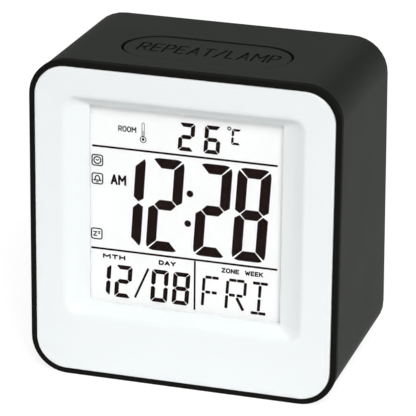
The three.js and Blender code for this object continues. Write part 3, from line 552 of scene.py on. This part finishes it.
def letter(bm, character, left, width):
    """Thin strokes of a calendar letter, each in two halves as such displays have them."""
    foot, height = DATE_DIGIT["foot"], DATE_DIGIT["height"]
    side_margin, end_margin, corner, slit, notch = 0.3, 0.35, 0.3, 0.06, 0.2
    middle_inset, centre_inset = 0.5, 0.55
    x0, x1, xm = left + side_margin, left + width - side_margin, left + width / 2
    z0, z1, zm = foot + end_margin, foot + height - end_margin, foot + height / 2
    strokes = {
        "top": [((x0 + corner, z1), (xm - slit, z1)), ((xm + slit, z1), (x1 - corner, z1))],
        "foot": [((x0 + corner, z0), (xm - slit, z0)), ((xm + slit, z0), (x1 - corner, z0))],
        "middle": [((x0 + middle_inset, zm), (xm - notch, zm)), ((xm + notch, zm), (x1 - middle_inset, zm))],
        "left": [((x0, z1 - corner), (x0, zm + notch)), ((x0, zm - notch), (x0, z0 + corner))],
        "centre": [((xm, z1 - centre_inset), (xm, zm + notch)), ((xm, zm - notch), (xm, z0 + centre_inset))],
        "upper right": [((x1, z1 - corner), (x1, zm + notch))],
        "leg": [((xm + 0.25, zm - 0.55), (x1 - 0.1, z0 + 0.2))],
    }
    for name in LETTER_PARTS[character]:
        for ends in strokes[name]:
            leaning = [(x + SLANT * (z - zm), z) for x, z in ends]
            line(bm, *leaning, width=LETTER_STROKE, rounding=LETTER_ROUND)


BOWL = [(0, 0), (0, 1), (0.72, 1), (1, 0.86), (1, 0.62), (0.72, 0.46), (0, 0.46)]
LETTERING = {
    "A": (0.7, [[(0, 0), (0.5, 1), (1, 0)], [(0.18, 0.33), (0.82, 0.33)]]),
    "D": (
        0.66,
        [[(0, 0), (0, 1), (0.55, 1), (0.88, 0.87), (1, 0.6), (1, 0.4), (0.88, 0.13), (0.55, 0), (0, 0)]],
    ),
    "E": (0.58, [[(1, 0), (0, 0), (0, 1), (1, 1)], [(0, 0.51), (0.85, 0.51)]]),
    "H": (0.64, [[(0, 0), (0, 1)], [(1, 0), (1, 1)], [(0, 0.5), (1, 0.5)]]),
    "K": (0.64, [[(0, 0), (0, 1)], [(1, 1), (0, 0.38)], [(0.35, 0.6), (1, 0)]]),
    "L": (0.54, [[(0, 1), (0, 0), (1, 0)]]),
    "M": (0.86, [[(0, 0), (0, 1), (0.5, 0.42), (1, 1), (1, 0)]]),
    "N": (0.66, [[(0, 0), (0, 1), (1, 0), (1, 1)]]),
    "O": (
        0.74,
        [[(0.3, 0), (0, 0.25), (0, 0.75), (0.3, 1), (0.7, 1), (1, 0.75), (1, 0.25), (0.7, 0), (0.3, 0)]],
    ),
    "P": (0.6, [BOWL]),
    "R": (0.64, [BOWL, [(0.5, 0.46), (1, 0)]]),
    "S": (
        0.62,
        [
            [(0, 0.14), (0.25, 0), (0.75, 0), (1, 0.24), (0.75, 0.5)]
            + [(0.25, 0.5), (0, 0.76), (0.25, 1), (0.75, 1), (1, 0.88)]
        ],
    ),
    "T": (0.62, [[(0, 1), (1, 1)], [(0.5, 1), (0.5, 0)]]),
    "W": (0.92, [[(0, 1), (0.25, 0), (0.5, 0.75), (0.75, 0), (1, 1)]]),
    "Y": (0.68, [[(0, 1), (0.5, 0.46), (1, 1)], [(0.5, 0.46), (0.5, 0)]]),
    "Z": (0.6, [[(0, 1), (1, 1), (0, 0), (1, 0)]]),
    "/": (0.5, [[(0, -0.03), (1, 1.03)]]),
}
LETTER_SPACE = 0.34


def lettering(bm, text, left, foot, width, cap, stroke):
    """Plain letters of even round-ended strokes, fitted to a width and a capital height."""
    letters = sum(LETTERING[c][0] for c in text)
    unit = (width - stroke) / (letters + LETTER_SPACE * (len(text) - 1))
    rise = cap - stroke
    place = left + stroke / 2
    for character in text:
        wide, paths = LETTERING[character]
        for path in paths:
            points = [(place + x * wide * unit, foot + stroke / 2 + z * rise) for x, z in path]
            for start, end in zip(points, points[1:]):
                line(bm, start, end, stroke, rounding=stroke * 0.48, reach=stroke / 2)
        place += (wide + LETTER_SPACE) * unit


def oblong(left, foot, right, head):
    """Corners of an upright rectangle."""
    return [(left, foot), (right, foot), (right, head), (left, head)]


def square_frame(bm, x, z):
    """Thin rounded frame round a sign."""
    half = 1.47
    mark(bm, oblong(x - half, z - half, x + half, z + half), rounding=0.6, outline=0.3)


def thermometer_sign(bm, x, z):
    """Tube over a ringed bulb, drawn about the bulb."""
    mark(bm, oblong(x - 0.35, z + 0.65, x + 0.35, z + 4.2), rounding=0.3, outline=0.14)
    disc(bm, x, z, 0.83, outline=0.2)
    disc(bm, x, z, 0.34)
    line(bm, (x, z + 0.3), (x, z + 2.2), width=0.12)


def clock_sign(bm, x, z):
    """Framed dial with its two hands spread."""
    square_frame(bm, x, z)
    disc(bm, x, z, 1.02, outline=0.3)
    for side in (-1, 1):
        line(bm, (x, z - 0.07), (x + side * 0.32, z + 0.19), width=0.24, rounding=0.05, reach=0.1)


BELL_SIDE = [(1.1, -0.62), (0.72, -0.2), (0.62, 0.4), (0.26, 0.85)]
BELL = BELL_SIDE + [(-x, z) for x, z in reversed(BELL_SIDE)]


def bell_sign(bm, x, z):
    """Framed bell over its clapper."""
    square_frame(bm, x, z)
    mark(bm, [(x + across, z + 0.05 + up) for across, up in BELL], rounding=0.1, outline=0.3)
    line(bm, (x - 0.36, z - 0.86), (x + 0.36, z - 0.86), width=0.26, rounding=0.1)


def sleep_sign(bm, x, z):
    """Framed large and small Z."""
    square_frame(bm, x, z)
    lettering(bm, "Z", x - 0.9, z - 0.65, width=1.05, cap=1.25, stroke=0.26)
    lettering(bm, "Z", x + 0.3, z - 0.05, width=0.6, cap=0.7, stroke=0.19)


bm = bmesh.new()
for start, end, width in (
    ((-23.65, 58.15), (22.2, 58.15), 0.5),
    ((-23.95, 32.1), (22.6, 32.1), 0.5),
    ((2.15, 31.8), (2.15, 19.2), 0.45),
):
    line(bm, start, end, width, rounding=0.1)
for character, left in (("1", -19.12), ("2", -9.5), ("2", 2.28), ("8", 11.86)):
    digit(bm, character, left, **HOUR_DIGIT)
for x, z in ((0.79, 48.71), (0.29, 41.11)):
    disc(bm, x, z, 0.84)
for character, left in (("2", -2.15), ("6", 4.2)):
    digit(bm, character, left, **ROOM_DIGIT)
digit(bm, "C", 10.85, **UNIT_LETTER)
disc(bm, 10.28, 66.13, 0.5, outline=0.27)
for character, left in (("1", -23.3), ("2", -17.95), ("0", -8.8), ("8", -3.4)):
    digit(bm, character, left, **DATE_DIGIT)
line(bm, (-9.47, 28.4), (-12.89, 20.4), width=0.55, rounding=0.2)
for character, left, width in (("F", 4.0, 4.5), ("R", 9.9, 5.0), ("I", 15.8, 4.9)):
    letter(bm, character, left, width)
lettering(bm, "ROOM", -17.1, 62.45, width=4.5, cap=1.45, stroke=0.26)
lettering(bm, "AM", -19.0, 48.8, width=3.9, cap=2.65, stroke=0.5)
for text, left, width, stroke in (
    ("MTH", -21.0, 5.7, 0.36),
    ("DAY", -6.9, 4.3, 0.36),
    ("ZONE", 8.8, 4.4, 0.3),
    ("WEEK", 14.6, 4.5, 0.3),
):
    lettering(bm, text, left, LABEL_FOOT, width, LABEL_CAP, stroke)
thermometer_sign(bm, -10.9, 61.0)
clock_sign(bm, -22.34, 54.55)
bell_sign(bm, -22.34, 49.9)
sleep_sign(bm, -22.55, 35.8)
bmesh.ops.recalc_face_normals(bm, faces=bm.faces[:])
bmesh.ops.translate(bm, verts=bm.verts[:], vec=Vector(MARK_SHIFT) * MM)
finished("display_segments", bm, display_dark, "clock_body", "display_glass")


# Behind the glass: a white light guide with a small lamp under each side, in a white moulded tray,
# and the striped rubber strip that joins the glass to the board.
STRIP_STRIPE = 0.25
WAVE_LENGTH = 0.314  # of a wave texture at a scale of one
white_plastic = plastic("white_plastic", (0.76, 0.76, 0.73), (0.82, 0.82, 0.79), gloss=0.5, cloud=12)
light_guide = plastic(
    "light_guide", (0.80, 0.82, 0.82), (0.86, 0.88, 0.88), gloss=0.2, grain=0.6, bump=0.01
)
dress(white_plastic, "display_holder", "backlight_led_left", "backlight_led_right")
dress(light_guide, "light_guide")


def banded(name, dark, light, stripe, gloss):
    """Plastic or rubber with even stripes of that width side by side."""
    material, shader, _ = textured(name, gloss, drift=0.08, grain=0.3, cloud=10.0, bump=0.01)
    nodes, links = material.node_tree.nodes, material.node_tree.links
    place = nodes.new("ShaderNodeTexCoord")
    wave = nodes.new("ShaderNodeTexWave")
    wave.bands_direction = "X"
    wave.inputs["Scale"].default_value = WAVE_LENGTH / (2 * stripe * MM)
    links.new(place.outputs["Object"], wave.inputs["Vector"])
    links.new(mixed(material, wave.outputs["Fac"], dark, light), shader.inputs["Base Color"])
    return material


contact_rubber = banded("contact_rubber", (0.05, 0.04, 0.04), (0.62, 0.36, 0.33), STRIP_STRIPE, gloss=0.75)
dress(contact_rubber, "contact_strip")


# Main board: green laminate with etched tracks under its solder mask, screwed to the panel's posts.
# The clock chip is a moulded black blob, beside it the quartz crystal's can and the room sensor.
TRACK_SCALE = 90
TRACK_WIDTH = 0.045
TRACK_BLUR = 0.15


def laminate(name, mask, track):
    """Solder mask with fine tracks showing through it."""
    material, shader, texture = textured(name, gloss=0.38, drift=0.12, grain=0.25, cloud=9.0, bump=0.01)
    nodes, links = material.node_tree.nodes, material.node_tree.links
    place = nodes.new("ShaderNodeTexCoord")
    turn = nodes.new("ShaderNodeMapping")
    turn.inputs["Rotation"].default_value = (math.pi / 2, 0, 0)
    tracks = nodes.new("ShaderNodeTexBrick")
    tracks.inputs["Scale"].default_value = TRACK_SCALE
    tracks.inputs["Mortar Size"].default_value = TRACK_WIDTH
    tracks.inputs["Mortar Smooth"].default_value = TRACK_BLUR
    tracks.inputs["Color1"].default_value = (*mask, 1)
    tracks.inputs["Color2"].default_value = (*[0.8 * c for c in mask], 1)
    tracks.inputs["Mortar"].default_value = (*track, 1)
    links.new(place.outputs["Object"], turn.inputs["Vector"])
    links.new(turn.outputs["Vector"], tracks.inputs["Vector"])
    darker = tuple(0.75 * c for c in mask)
    colour = mixed(material, texture.outputs["Tint"], tracks.outputs["Color"], darker)
    links.new(colour, shader.inputs["Base Color"])
    return material


def metal(name, dark, light, gloss):
    """Plated metal whose tone and gloss wander as handled metal's do."""
    material = plastic(name, dark, light, gloss, drift=0.25, grain=0.15, cloud=3.0, bump=0.004)
    material.node_tree.nodes["Principled BSDF"].inputs["Metallic"].default_value = 1.0
    return material


circuit_board = laminate("circuit_board", mask=(0.022, 0.115, 0.04), track=(0.06, 0.22, 0.08))
black_epoxy = plastic("black_epoxy", (0.007, 0.007, 0.0075), (0.011, 0.011, 0.0115), gloss=0.34, cloud=4)
tinned = metal("tinned_strip", (0.50, 0.51, 0.53), (0.62, 0.63, 0.65), gloss=0.32)
zinc = metal("zinc_plated_steel", (0.36, 0.37, 0.38), (0.48, 0.49, 0.51), gloss=0.36)
dress(circuit_board, "main_board")
dress(black_epoxy, "clock_chip", "temperature_sensor")
dress(tinned, "quartz_crystal")
dress(zinc, *[f"board_screw_{number}" for number in range(1, 5)])


# Rear case: the deep black ABS tub that makes the top, sides, underside and back in one moulding.
# Its walls run past the upright back as a skirt that leans out towards the table, and four screws
# from behind hold it to the frame.
BACK_Y = extent("battery_door")[1].y  # the door is flush with the back
BACK_HALF_WIDTH = 34.5
BACK_FOOT = 4.0
BACK_HEAD = 76.0
KEY_LOW, KEY_HIGH = extent("snooze_key")
KEY_MIDDLE_Y = centre("snooze_key").y
TOP_EDGE_DROP = 1.3
OPENING_ROOM = 0.1
OPENING_ROUND = 0.18
FLUSH = 0.01
case_black = plastic(
    "case_black",
    dark=(0.0104, 0.0124, 0.0098),
    light=(0.0124, 0.0146, 0.0117),
    gloss=0.62,
    drift=0.08,
    bump=0.02,
    shine=0.14,
    tint=(0.86, 1, 0.8),
)


def moulding(node, edges=None, radius=0.0, steps=2):
    """Welded copy of a CAD piece with its flats joined and, if asked, some edges rounded."""
    bm = bmesh.new()
    bm.from_mesh(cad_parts[node].data)
    bmesh.ops.remove_doubles(bm, verts=bm.verts[:], dist=10 * WELD)
    bmesh.ops.dissolve_limit(
        bm, angle_limit=math.radians(0.5), use_dissolve_boundaries=False, verts=bm.verts[:], edges=bm.edges[:]
    )
    if edges:
        crease = math.radians(50)
        sharp = [e for e in bm.edges if e.is_manifold and e.calc_face_angle(0) > crease and edges(e)]
        bmesh.ops.bevel(
            bm,
            geom=sharp,
            offset=radius * MM,
            segments=steps,
            profile=0.5,
            affect="EDGES",
            material=-1,
            clamp_overlap=True,
        )
    return bm


def opening_edges(edge):
    """Test for the edges of the top key's opening and of the openings in the back."""
    ends = [vert.co / MM for vert in edge.verts]
    x, y, z = (ends[0] + ends[1]) / 2
    key_reach = KEY_HIGH.y - KEY_MIDDLE_Y
    beside_key = abs(x) < KEY_HIGH.x + OPENING_ROOM and abs(y - KEY_MIDDLE_Y) < key_reach + OPENING_ROOM
    inside_skirt = abs(x) < BACK_HALF_WIDTH and BACK_FOOT < z < BACK_HEAD
    at_top = z > CASE_HIGH.z - TOP_EDGE_DROP
    at_back = all(abs(end.y - BACK_Y) < FLUSH for end in ends)
    return at_top and beside_key or at_back and inside_skirt


# the clamp against overlaps holds this round to 0.002 mm, so it does no more than soften the shading
bm = moulding("rear_case", opening_edges, OPENING_ROUND)
finished("case_tub", bm, case_black, "clock_body", "black_plastic", "rear_case")
dress(zinc, *[f"case_screw_{number}" for number in range(1, 5)])


# Top key: a flush stadium cap in the same black ABS, engraved with what it does and held up by the
# switch on its own little board. A lip under the case's top keeps it in.
TOP_DROP = 0.95
TOP_FALL = TOP_DROP / (BACK_Y - CASE_LOW.y)
KEY_SINK = 0.2
KEY_TOP = CASE_HIGH.z - KEY_SINK
KEY_LIP = 1.4
KEY_LIP_FOOT = 75.2
KEY_LIP_TOP = 76.4
KEY_HALF_DEPTH = KEY_HIGH.y - KEY_MIDDLE_Y - KEY_LIP
KEY_END_FLAT = 0.01
KEY_CAP = (KEY_HIGH.x - KEY_LIP, -KEY_HALF_DEPTH, KEY_HALF_DEPTH, KEY_HALF_DEPTH - KEY_END_FLAT)
KEY_SHELL = 1.6
KEY_ROUND = 0.18
STEM_DIAMETER = 4.6
STEM_HEAD = KEY_TOP - 1.8
ENGRAVING = 0.3
LEGEND = {"left": -17.0, "foot": -3.35, "width": 34.9, "cap": 6.5, "stroke": 0.62}
LEGEND_REACH = (18.5, 4.5)
# painted shade: the floors and walls of the engraved letters are coloured darker than the key, for the shade
# in their hollows
engraved_painted_shade = plastic(
    "engraved_painted_shade", (0.0040, 0.0042, 0.0038), (0.0055, 0.0057, 0.0052), gloss=0.7, bump=0.01, shine=0.1
)


def lay_on_top(bm):
    """Turns what was built upright to lie on the falling top of the case."""
    bmesh.ops.rotate(bm, verts=bm.verts[:], cent=(0, 0, 0), matrix=Matrix.Rotation(-math.pi / 2, 3, "X"))
    bmesh.ops.translate(bm, verts=bm.verts[:], vec=(0, KEY_MIDDLE_Y * MM, 0))
    for vert in bm.verts:
        vert.co.z -= TOP_FALL * (vert.co.y - CASE_LOW.y * MM)


def carve(bm, tool):
    """The first shape less the second, both closed."""
    holders = []
    for name, shape in (("blank", bm), ("tool", tool)):
        mesh = bpy.data.meshes.new(name)
        shape.to_mesh(mesh)
        holders.append(bpy.data.objects.new(name, mesh))
        bpy.context.scene.collection.objects.link(holders[-1])
    blank, cutter = holders
    cut = blank.modifiers.new("Engraving", "BOOLEAN")
    cut.operation = "DIFFERENCE"
    cut.solver = "EXACT"
    cut.use_self = True
    cut.object = cutter
    mesh = bpy.data.meshes.new_from_object(blank.evaluated_get(bpy.context.evaluated_depsgraph_get()))
    bm.clear()
    bm.from_mesh(mesh)
    tool.free()
    bpy.data.meshes.remove(mesh)
    for holder in holders:
        mesh = holder.data
        bpy.data.objects.remove(holder)
        bpy.data.meshes.remove(mesh)


bm = bmesh.new()
crown = [
    section(KEY_CAP, KEY_ROUND * across, KEY_ROUND * (1 - along) - KEY_TOP) for across, along in quarter(4)
]
loft(
    bm,
    [
        section(KEY_CAP, KEY_SHELL, KEY_SHELL - KEY_TOP),
        section(KEY_CAP, KEY_SHELL, -KEY_LIP_FOOT),
        section(KEY_CAP, -KEY_LIP, -KEY_LIP_FOOT),
        section(KEY_CAP, -KEY_LIP, -KEY_LIP_TOP),
        section(KEY_CAP, 0, -KEY_LIP_TOP),
    ]
    + crown,
)
# the legend starts as thin marks, which are then deepened and set into the key's top
tool = bmesh.new()
lettering(tool, "REPEAT/LAMP", **LEGEND)
bmesh.ops.translate(tool, verts=tool.verts[:], vec=(0, -GLASS_Y * MM, 0))
bmesh.ops.scale(tool, verts=tool.verts[:], vec=(1, 2 * ENGRAVING / MARK_THICKNESS, 1))
bmesh.ops.translate(tool, verts=tool.verts[:], vec=(0, (ENGRAVING - KEY_TOP) * MM, 0))
bmesh.ops.recalc_face_normals(tool, faces=tool.faces[:])
lay_on_top(bm)
lay_on_top(tool)
carve(bm, tool)
stem_middle = (0, KEY_MIDDLE_Y * MM, (KEY_LOW.z + STEM_HEAD) / 2 * MM)
post(bm, STEM_DIAMETER, STEM_HEAD - KEY_LOW.z, Matrix.Translation(stem_middle))
# faces sunk into the legend get the painted shade
for face in bm.faces:
    place = face.calc_center_median() / MM
    below = KEY_TOP - TOP_FALL * (place.y - CASE_LOW.y) - place.z
    in_legend = abs(place.x) < LEGEND_REACH[0] and abs(place.y - KEY_MIDDLE_Y) < LEGEND_REACH[1]
    if in_legend and 0.02 < below < 1.2 * ENGRAVING:
        face.material_index = 1
finished("top_key", bm, [case_black, engraved_painted_shade], "snooze", "black_plastic", "snooze_key")
dress(circuit_board, "snooze_board")
dress(black_epoxy, "snooze_switch")
dress(white_plastic, "snooze_plunger")


# Setting keys: five small caps in a tray on the back, each over its switch on the key board, with
# a plain printed sign.
KEYS = ["mode", "set", "up", "down", "alarm"]
CAP_ROUND = 0.45
WORD_CAP = 1.5
WORD_STROKE = 0.26
ARROW_SIZE = (1.1, 0.8)
key_black = plastic(
    "key_black", (0.016, 0.0165, 0.0155), (0.019, 0.0195, 0.0185), gloss=0.42, bump=0.012, shine=0.35
)
printed_grey = plastic(
    "printed_grey", (0.42, 0.43, 0.42), (0.50, 0.51, 0.50), gloss=0.5, cloud=5, bump=0.002
)


def edges_at(y):
    """Test for the edges that lie wholly at a depth or behind it."""
    return lambda edge: min(vert.co.y for vert in edge.verts) > (y - FLUSH) * MM


for name in KEYS:
    node = f"{name}_key"
    place = centre(node)
    face_y = extent(node)[1].y
    outer = moulding(node, edges_at(face_y), CAP_ROUND, steps=3)
    finished(f"{name}_cap", outer, key_black, name, "key_plastic", node)
    bm = bmesh.new()
    if name == "mode":
        lettering(bm, "MODE", -2.5, -WORD_CAP / 2, 5.0, WORD_CAP, WORD_STROKE)
    elif name == "set":
        lettering(bm, "SET", -1.8, -WORD_CAP / 2, 3.6, WORD_CAP, WORD_STROKE)
    elif name == "alarm":
        mark(bm, [(1.2 * x, 1.35 * z) for x, z in BELL], rounding=0.12, outline=0.26)
        line(bm, (-0.35, -1.2), (0.35, -1.2), width=0.34, rounding=0.12)
    else:
        half, rise = ARROW_SIZE[0], ARROW_SIZE[1] if name == "up" else -ARROW_SIZE[1]
        mark(bm, [(-half, -rise), (half, -rise), (0, rise)], rounding=0.1)
    bmesh.ops.recalc_face_normals(bm, faces=bm.faces[:])
    bmesh.ops.rotate(bm, verts=bm.verts[:], cent=(0, 0, 0), matrix=Matrix.Rotation(math.pi, 3, "Z"))
    bmesh.ops.translate(bm, verts=bm.verts[:], vec=Vector((place.x, face_y + GLASS_Y, place.z)) * MM)
    finished(f"{name}_sign", bm, printed_grey, name, "key_plastic")
dress(circuit_board, "key_board")
dress(black_epoxy, *[f"{name}_switch" for name in KEYS])
dress(white_plastic, *[f"{name}_plunger" for name in KEYS])
dress(zinc, "key_board_screw_1", "key_board_screw_2")


# Battery bay: two dry cells head to tail between tinned contacts and conical springs, under a
# door that turns on two hooks.
DOOR_ROUND = 0.25
GRIP_HEIGHTS = (34.3, 35.2, 36.1)
GRIP_SIZE = (8.4, 0.5, 0.45)
GRIP_ROUND = 0.12
CELL_PROFILE = [
    (-19.95, 0), (-19.95, 4.1), (-19.7, 4.35), (-19.7, 4.75), (-19.6, 5.05), (-19.2, 5.25), (23.0, 5.25),
    (23.4, 5.1), (23.55, 4.75), (23.55, 2.5), (23.7, 1.95), (24.3, 1.9), (24.55, 1.65), (24.55, 0),
]
CELL_SIDES = 48
JACKET_ENDS = (-19.65, 23.5)
BAND_EDGES = (12.9, 13.1)
bm = moulding("battery_door", edges_at(BACK_Y), DOOR_ROUND)
for z in GRIP_HEIGHTS:
    size = Matrix.Diagonal((*[side * MM for side in GRIP_SIZE], 1))
    place = Matrix.Translation((0, BACK_Y * MM, z * MM)) @ size
    ridge = bmesh.ops.create_cube(bm, size=1, matrix=place)["verts"]
    ridge_edges = list({e for v in ridge for e in v.link_edges})
    bmesh.ops.bevel(
        bm, geom=ridge_edges, offset=GRIP_ROUND * MM, segments=2, profile=0.5, affect="EDGES", material=-1
    )
finished("bay_door", bm, case_black, "door", "black_plastic", "battery_door")
for name in ("spring_upper", "spring_lower"):
    finished(f"{name}_coil", moulding(name), tinned, "clock_body", "tin", name, crease=80)
dress(tinned, "negative_contact", "positive_contact", "bridge_contact")


def jacket(name, head):
    """Printed film round a cell: dark blue, with a pale band at its positive end."""
    material, shader, texture = textured(name, gloss=0.3, drift=0.1, grain=0.4, cloud=8.0, bump=0.004)
    nodes, links = material.node_tree.nodes, material.node_tree.links
    place = nodes.new("ShaderNodeTexCoord")
    along = nodes.new("ShaderNodeSeparateXYZ")
    links.new(place.outputs["Object"], along.inputs["Vector"])
    band = nodes.new("ShaderNodeMapRange")
    for socket, edge in zip(("From Min", "From Max"), BAND_EDGES):
        band.inputs[socket].default_value = head * edge * MM
    links.new(along.outputs["X"], band.inputs["Value"])
    film = mixed(material, texture.outputs["Tint"], (0.018, 0.045, 0.11), (0.026, 0.060, 0.14))
    colour = mixed(material, band.outputs["Result"], film, (0.55, 0.56, 0.56))
    links.new(colour, shader.inputs["Base Color"])
    return material


for name, head in (("cell_upper", 1), ("cell_lower", -1)):
    axis = centre(name)
    bm = bmesh.new()
    chain = [bm.verts.new((head * x * MM, axis.y * MM, (axis.z + radius) * MM)) for x, radius in CELL_PROFILE]
    wire = [bm.edges.new(pair) for pair in zip(chain, chain[1:])]
    bmesh.ops.spin(
        bm,
        geom=chain + wire,
        cent=(0, axis.y * MM, axis.z * MM),
        axis=(1, 0, 0),
        angle=2 * math.pi,
        steps=CELL_SIDES,
        use_merge=True,
    )
    bmesh.ops.remove_doubles(bm, verts=bm.verts[:], dist=10 * WELD)
    bmesh.ops.recalc_face_normals(bm, faces=bm.faces[:])
    for face in bm.faces:
        far = head * face.calc_center_median().x / MM
        face.material_index = 0 if JACKET_ENDS[0] <= far <= JACKET_ENDS[1] else 1
    finished(f"{name}_body", bm, [jacket(f"{name}_jacket", head), tinned], "clock_body", "cell_jacket", name)


# Buzzer and leads: a thin brass disc in a moulded seat behind the sound holes, and insulated leads
# from the main board: flat grey ribbon to the buzzer and to the keys' two boards, and a red and a
# black wire to the cells' contacts.
RIBBON_STRIPE = 0.6
brass = metal("brass", (0.52, 0.33, 0.085), (0.62, 0.40, 0.11), gloss=0.34)
grey_ribbon = banded("grey_ribbon", (0.22, 0.225, 0.23), (0.38, 0.385, 0.39), RIBBON_STRIPE, gloss=0.55)
black_wire = plastic("black_wire", (0.010, 0.010, 0.010), (0.015, 0.015, 0.015), gloss=0.5)
red_wire = plastic("red_wire", (0.36, 0.015, 0.010), (0.46, 0.024, 0.015), gloss=0.5)
dress(brass, "piezo_buzzer")
dress(grey_ribbon, "ribbon_cable", "buzzer_lead", "snooze_lead")
dress(black_wire, "battery_lead_negative")
dress(red_wire, "battery_lead_positive")


# Studio: a plain pale table under soft light, seen from the photograph's place. One soft box stands
# high in front, to the right, and two stand lower behind the clock.
TABLE_REACH = 4.0
TABLE_GLOW = 0.84
WORLD_STRENGTH = 0.2
floor_mesh = bpy.data.meshes.new("table")
bm = bmesh.new()
bmesh.ops.create_grid(bm, x_segments=1, y_segments=1, size=TABLE_REACH)
bm.to_mesh(floor_mesh)
bm.free()
table = bpy.data.objects.new("table", floor_mesh)
bpy.context.scene.collection.objects.link(table)
pale = bpy.data.materials.new("pale_table")
pale.use_nodes = True
nodes, links = pale.node_tree.nodes, pale.node_tree.links
nodes.remove(nodes["Principled BSDF"])
bounce = nodes.new("ShaderNodeBsdfDiffuse")
bounce.inputs["Color"].default_value = (0.82, 0.82, 0.82, 1)
shade = nodes.new("ShaderNodeBsdfDiffuse")
shade.inputs["Color"].default_value = (0.28, 0.28, 0.28, 1)
glow = nodes.new("ShaderNodeEmission")
glow.inputs["Strength"].default_value = TABLE_GLOW
seen = nodes.new("ShaderNodeAddShader")
links.new(shade.outputs[0], seen.inputs[0])
links.new(glow.outputs[0], seen.inputs[1])
path = nodes.new("ShaderNodeLightPath")
viewed = path.outputs["Is Camera Ray"]
for ray in ("Is Transmission Ray", "Is Glossy Ray"):
    either = nodes.new("ShaderNodeMath")
    either.operation = "MAXIMUM"
    links.new(viewed, either.inputs[0])
    links.new(path.outputs[ray], either.inputs[1])
    viewed = either.outputs[0]
choose = nodes.new("ShaderNodeMixShader")
links.new(viewed, choose.inputs["Fac"])
links.new(bounce.outputs[0], choose.inputs[1])
links.new(seen.outputs[0], choose.inputs[2])
links.new(choose.outputs[0], nodes["Material Output"].inputs["Surface"])
floor_mesh.materials.append(pale)

world = bpy.data.worlds.new("studio")
bpy.context.scene.world = world
world.use_nodes = True
sky = world.node_tree.nodes["Background"]
sky.inputs["Color"].default_value = (1, 1, 1, 1)
sky.inputs["Strength"].default_value = WORLD_STRENGTH


def softbox(name, place, aim, size, power, spread=180):
    """Soft lamp at a place, turned to a point, with its size in metres and its spread in degrees."""
    lamp = bpy.data.lights.new(name, "AREA")
    lamp.shape = "RECTANGLE"
    lamp.size, lamp.size_y = size
    lamp.energy = power
    lamp.spread = math.radians(spread)
    box = bpy.data.objects.new(name, lamp)
    bpy.context.scene.collection.objects.link(box)
    turn = (Vector(aim) - Vector(place)).to_track_quat("-Z", "Y")
    box.matrix_world = Matrix.Translation(place) @ turn.to_matrix().to_4x4()


softbox("key softbox", (0.49, -1.16, 0.98), (0.02, -0.25, 0), size=(0.9, 0.9), power=3.1, spread=50)
softbox("back softbox", (-0.4, 1.3, 0.75), (0, 0, 0.04), size=(1.3, 0.7), power=2.6)
softbox("right back softbox", (1.1, 1.0, 0.45), (0, 0, 0.04), size=(0.7, 0.7), power=2.4)

YAW = math.radians(16.874)
PITCH = math.radians(20.722)
ROLL = 0.0103
AIM = Vector((6.406, FACE_Y, 47.408)) * MM
DISTANCE = 0.71508
FOCAL_LENGTH = 263.38
SENSOR_WIDTH = 36
back = Vector((math.sin(YAW) * math.cos(PITCH), -math.cos(YAW) * math.cos(PITCH), math.sin(PITCH)))
level = Vector((math.cos(YAW), math.sin(YAW), 0))
upright = back.cross(level)
right = level * math.cos(ROLL) + upright * math.sin(ROLL)
up = upright * math.cos(ROLL) - level * math.sin(ROLL)
view = bpy.data.cameras.new("photograph view")
view.lens = FOCAL_LENGTH
view.sensor_width = SENSOR_WIDTH
view.clip_start, view.clip_end = 0.05, 20
camera = bpy.data.objects.new("photograph view", view)
bpy.context.scene.collection.objects.link(camera)
turn = Matrix((right, up, back)).transposed().to_4x4()
camera.matrix_world = Matrix.Translation(AIM + back * DISTANCE) @ turn
bpy.context.scene.camera = camera
bpy.context.scene.view_settings.view_transform = "Standard"
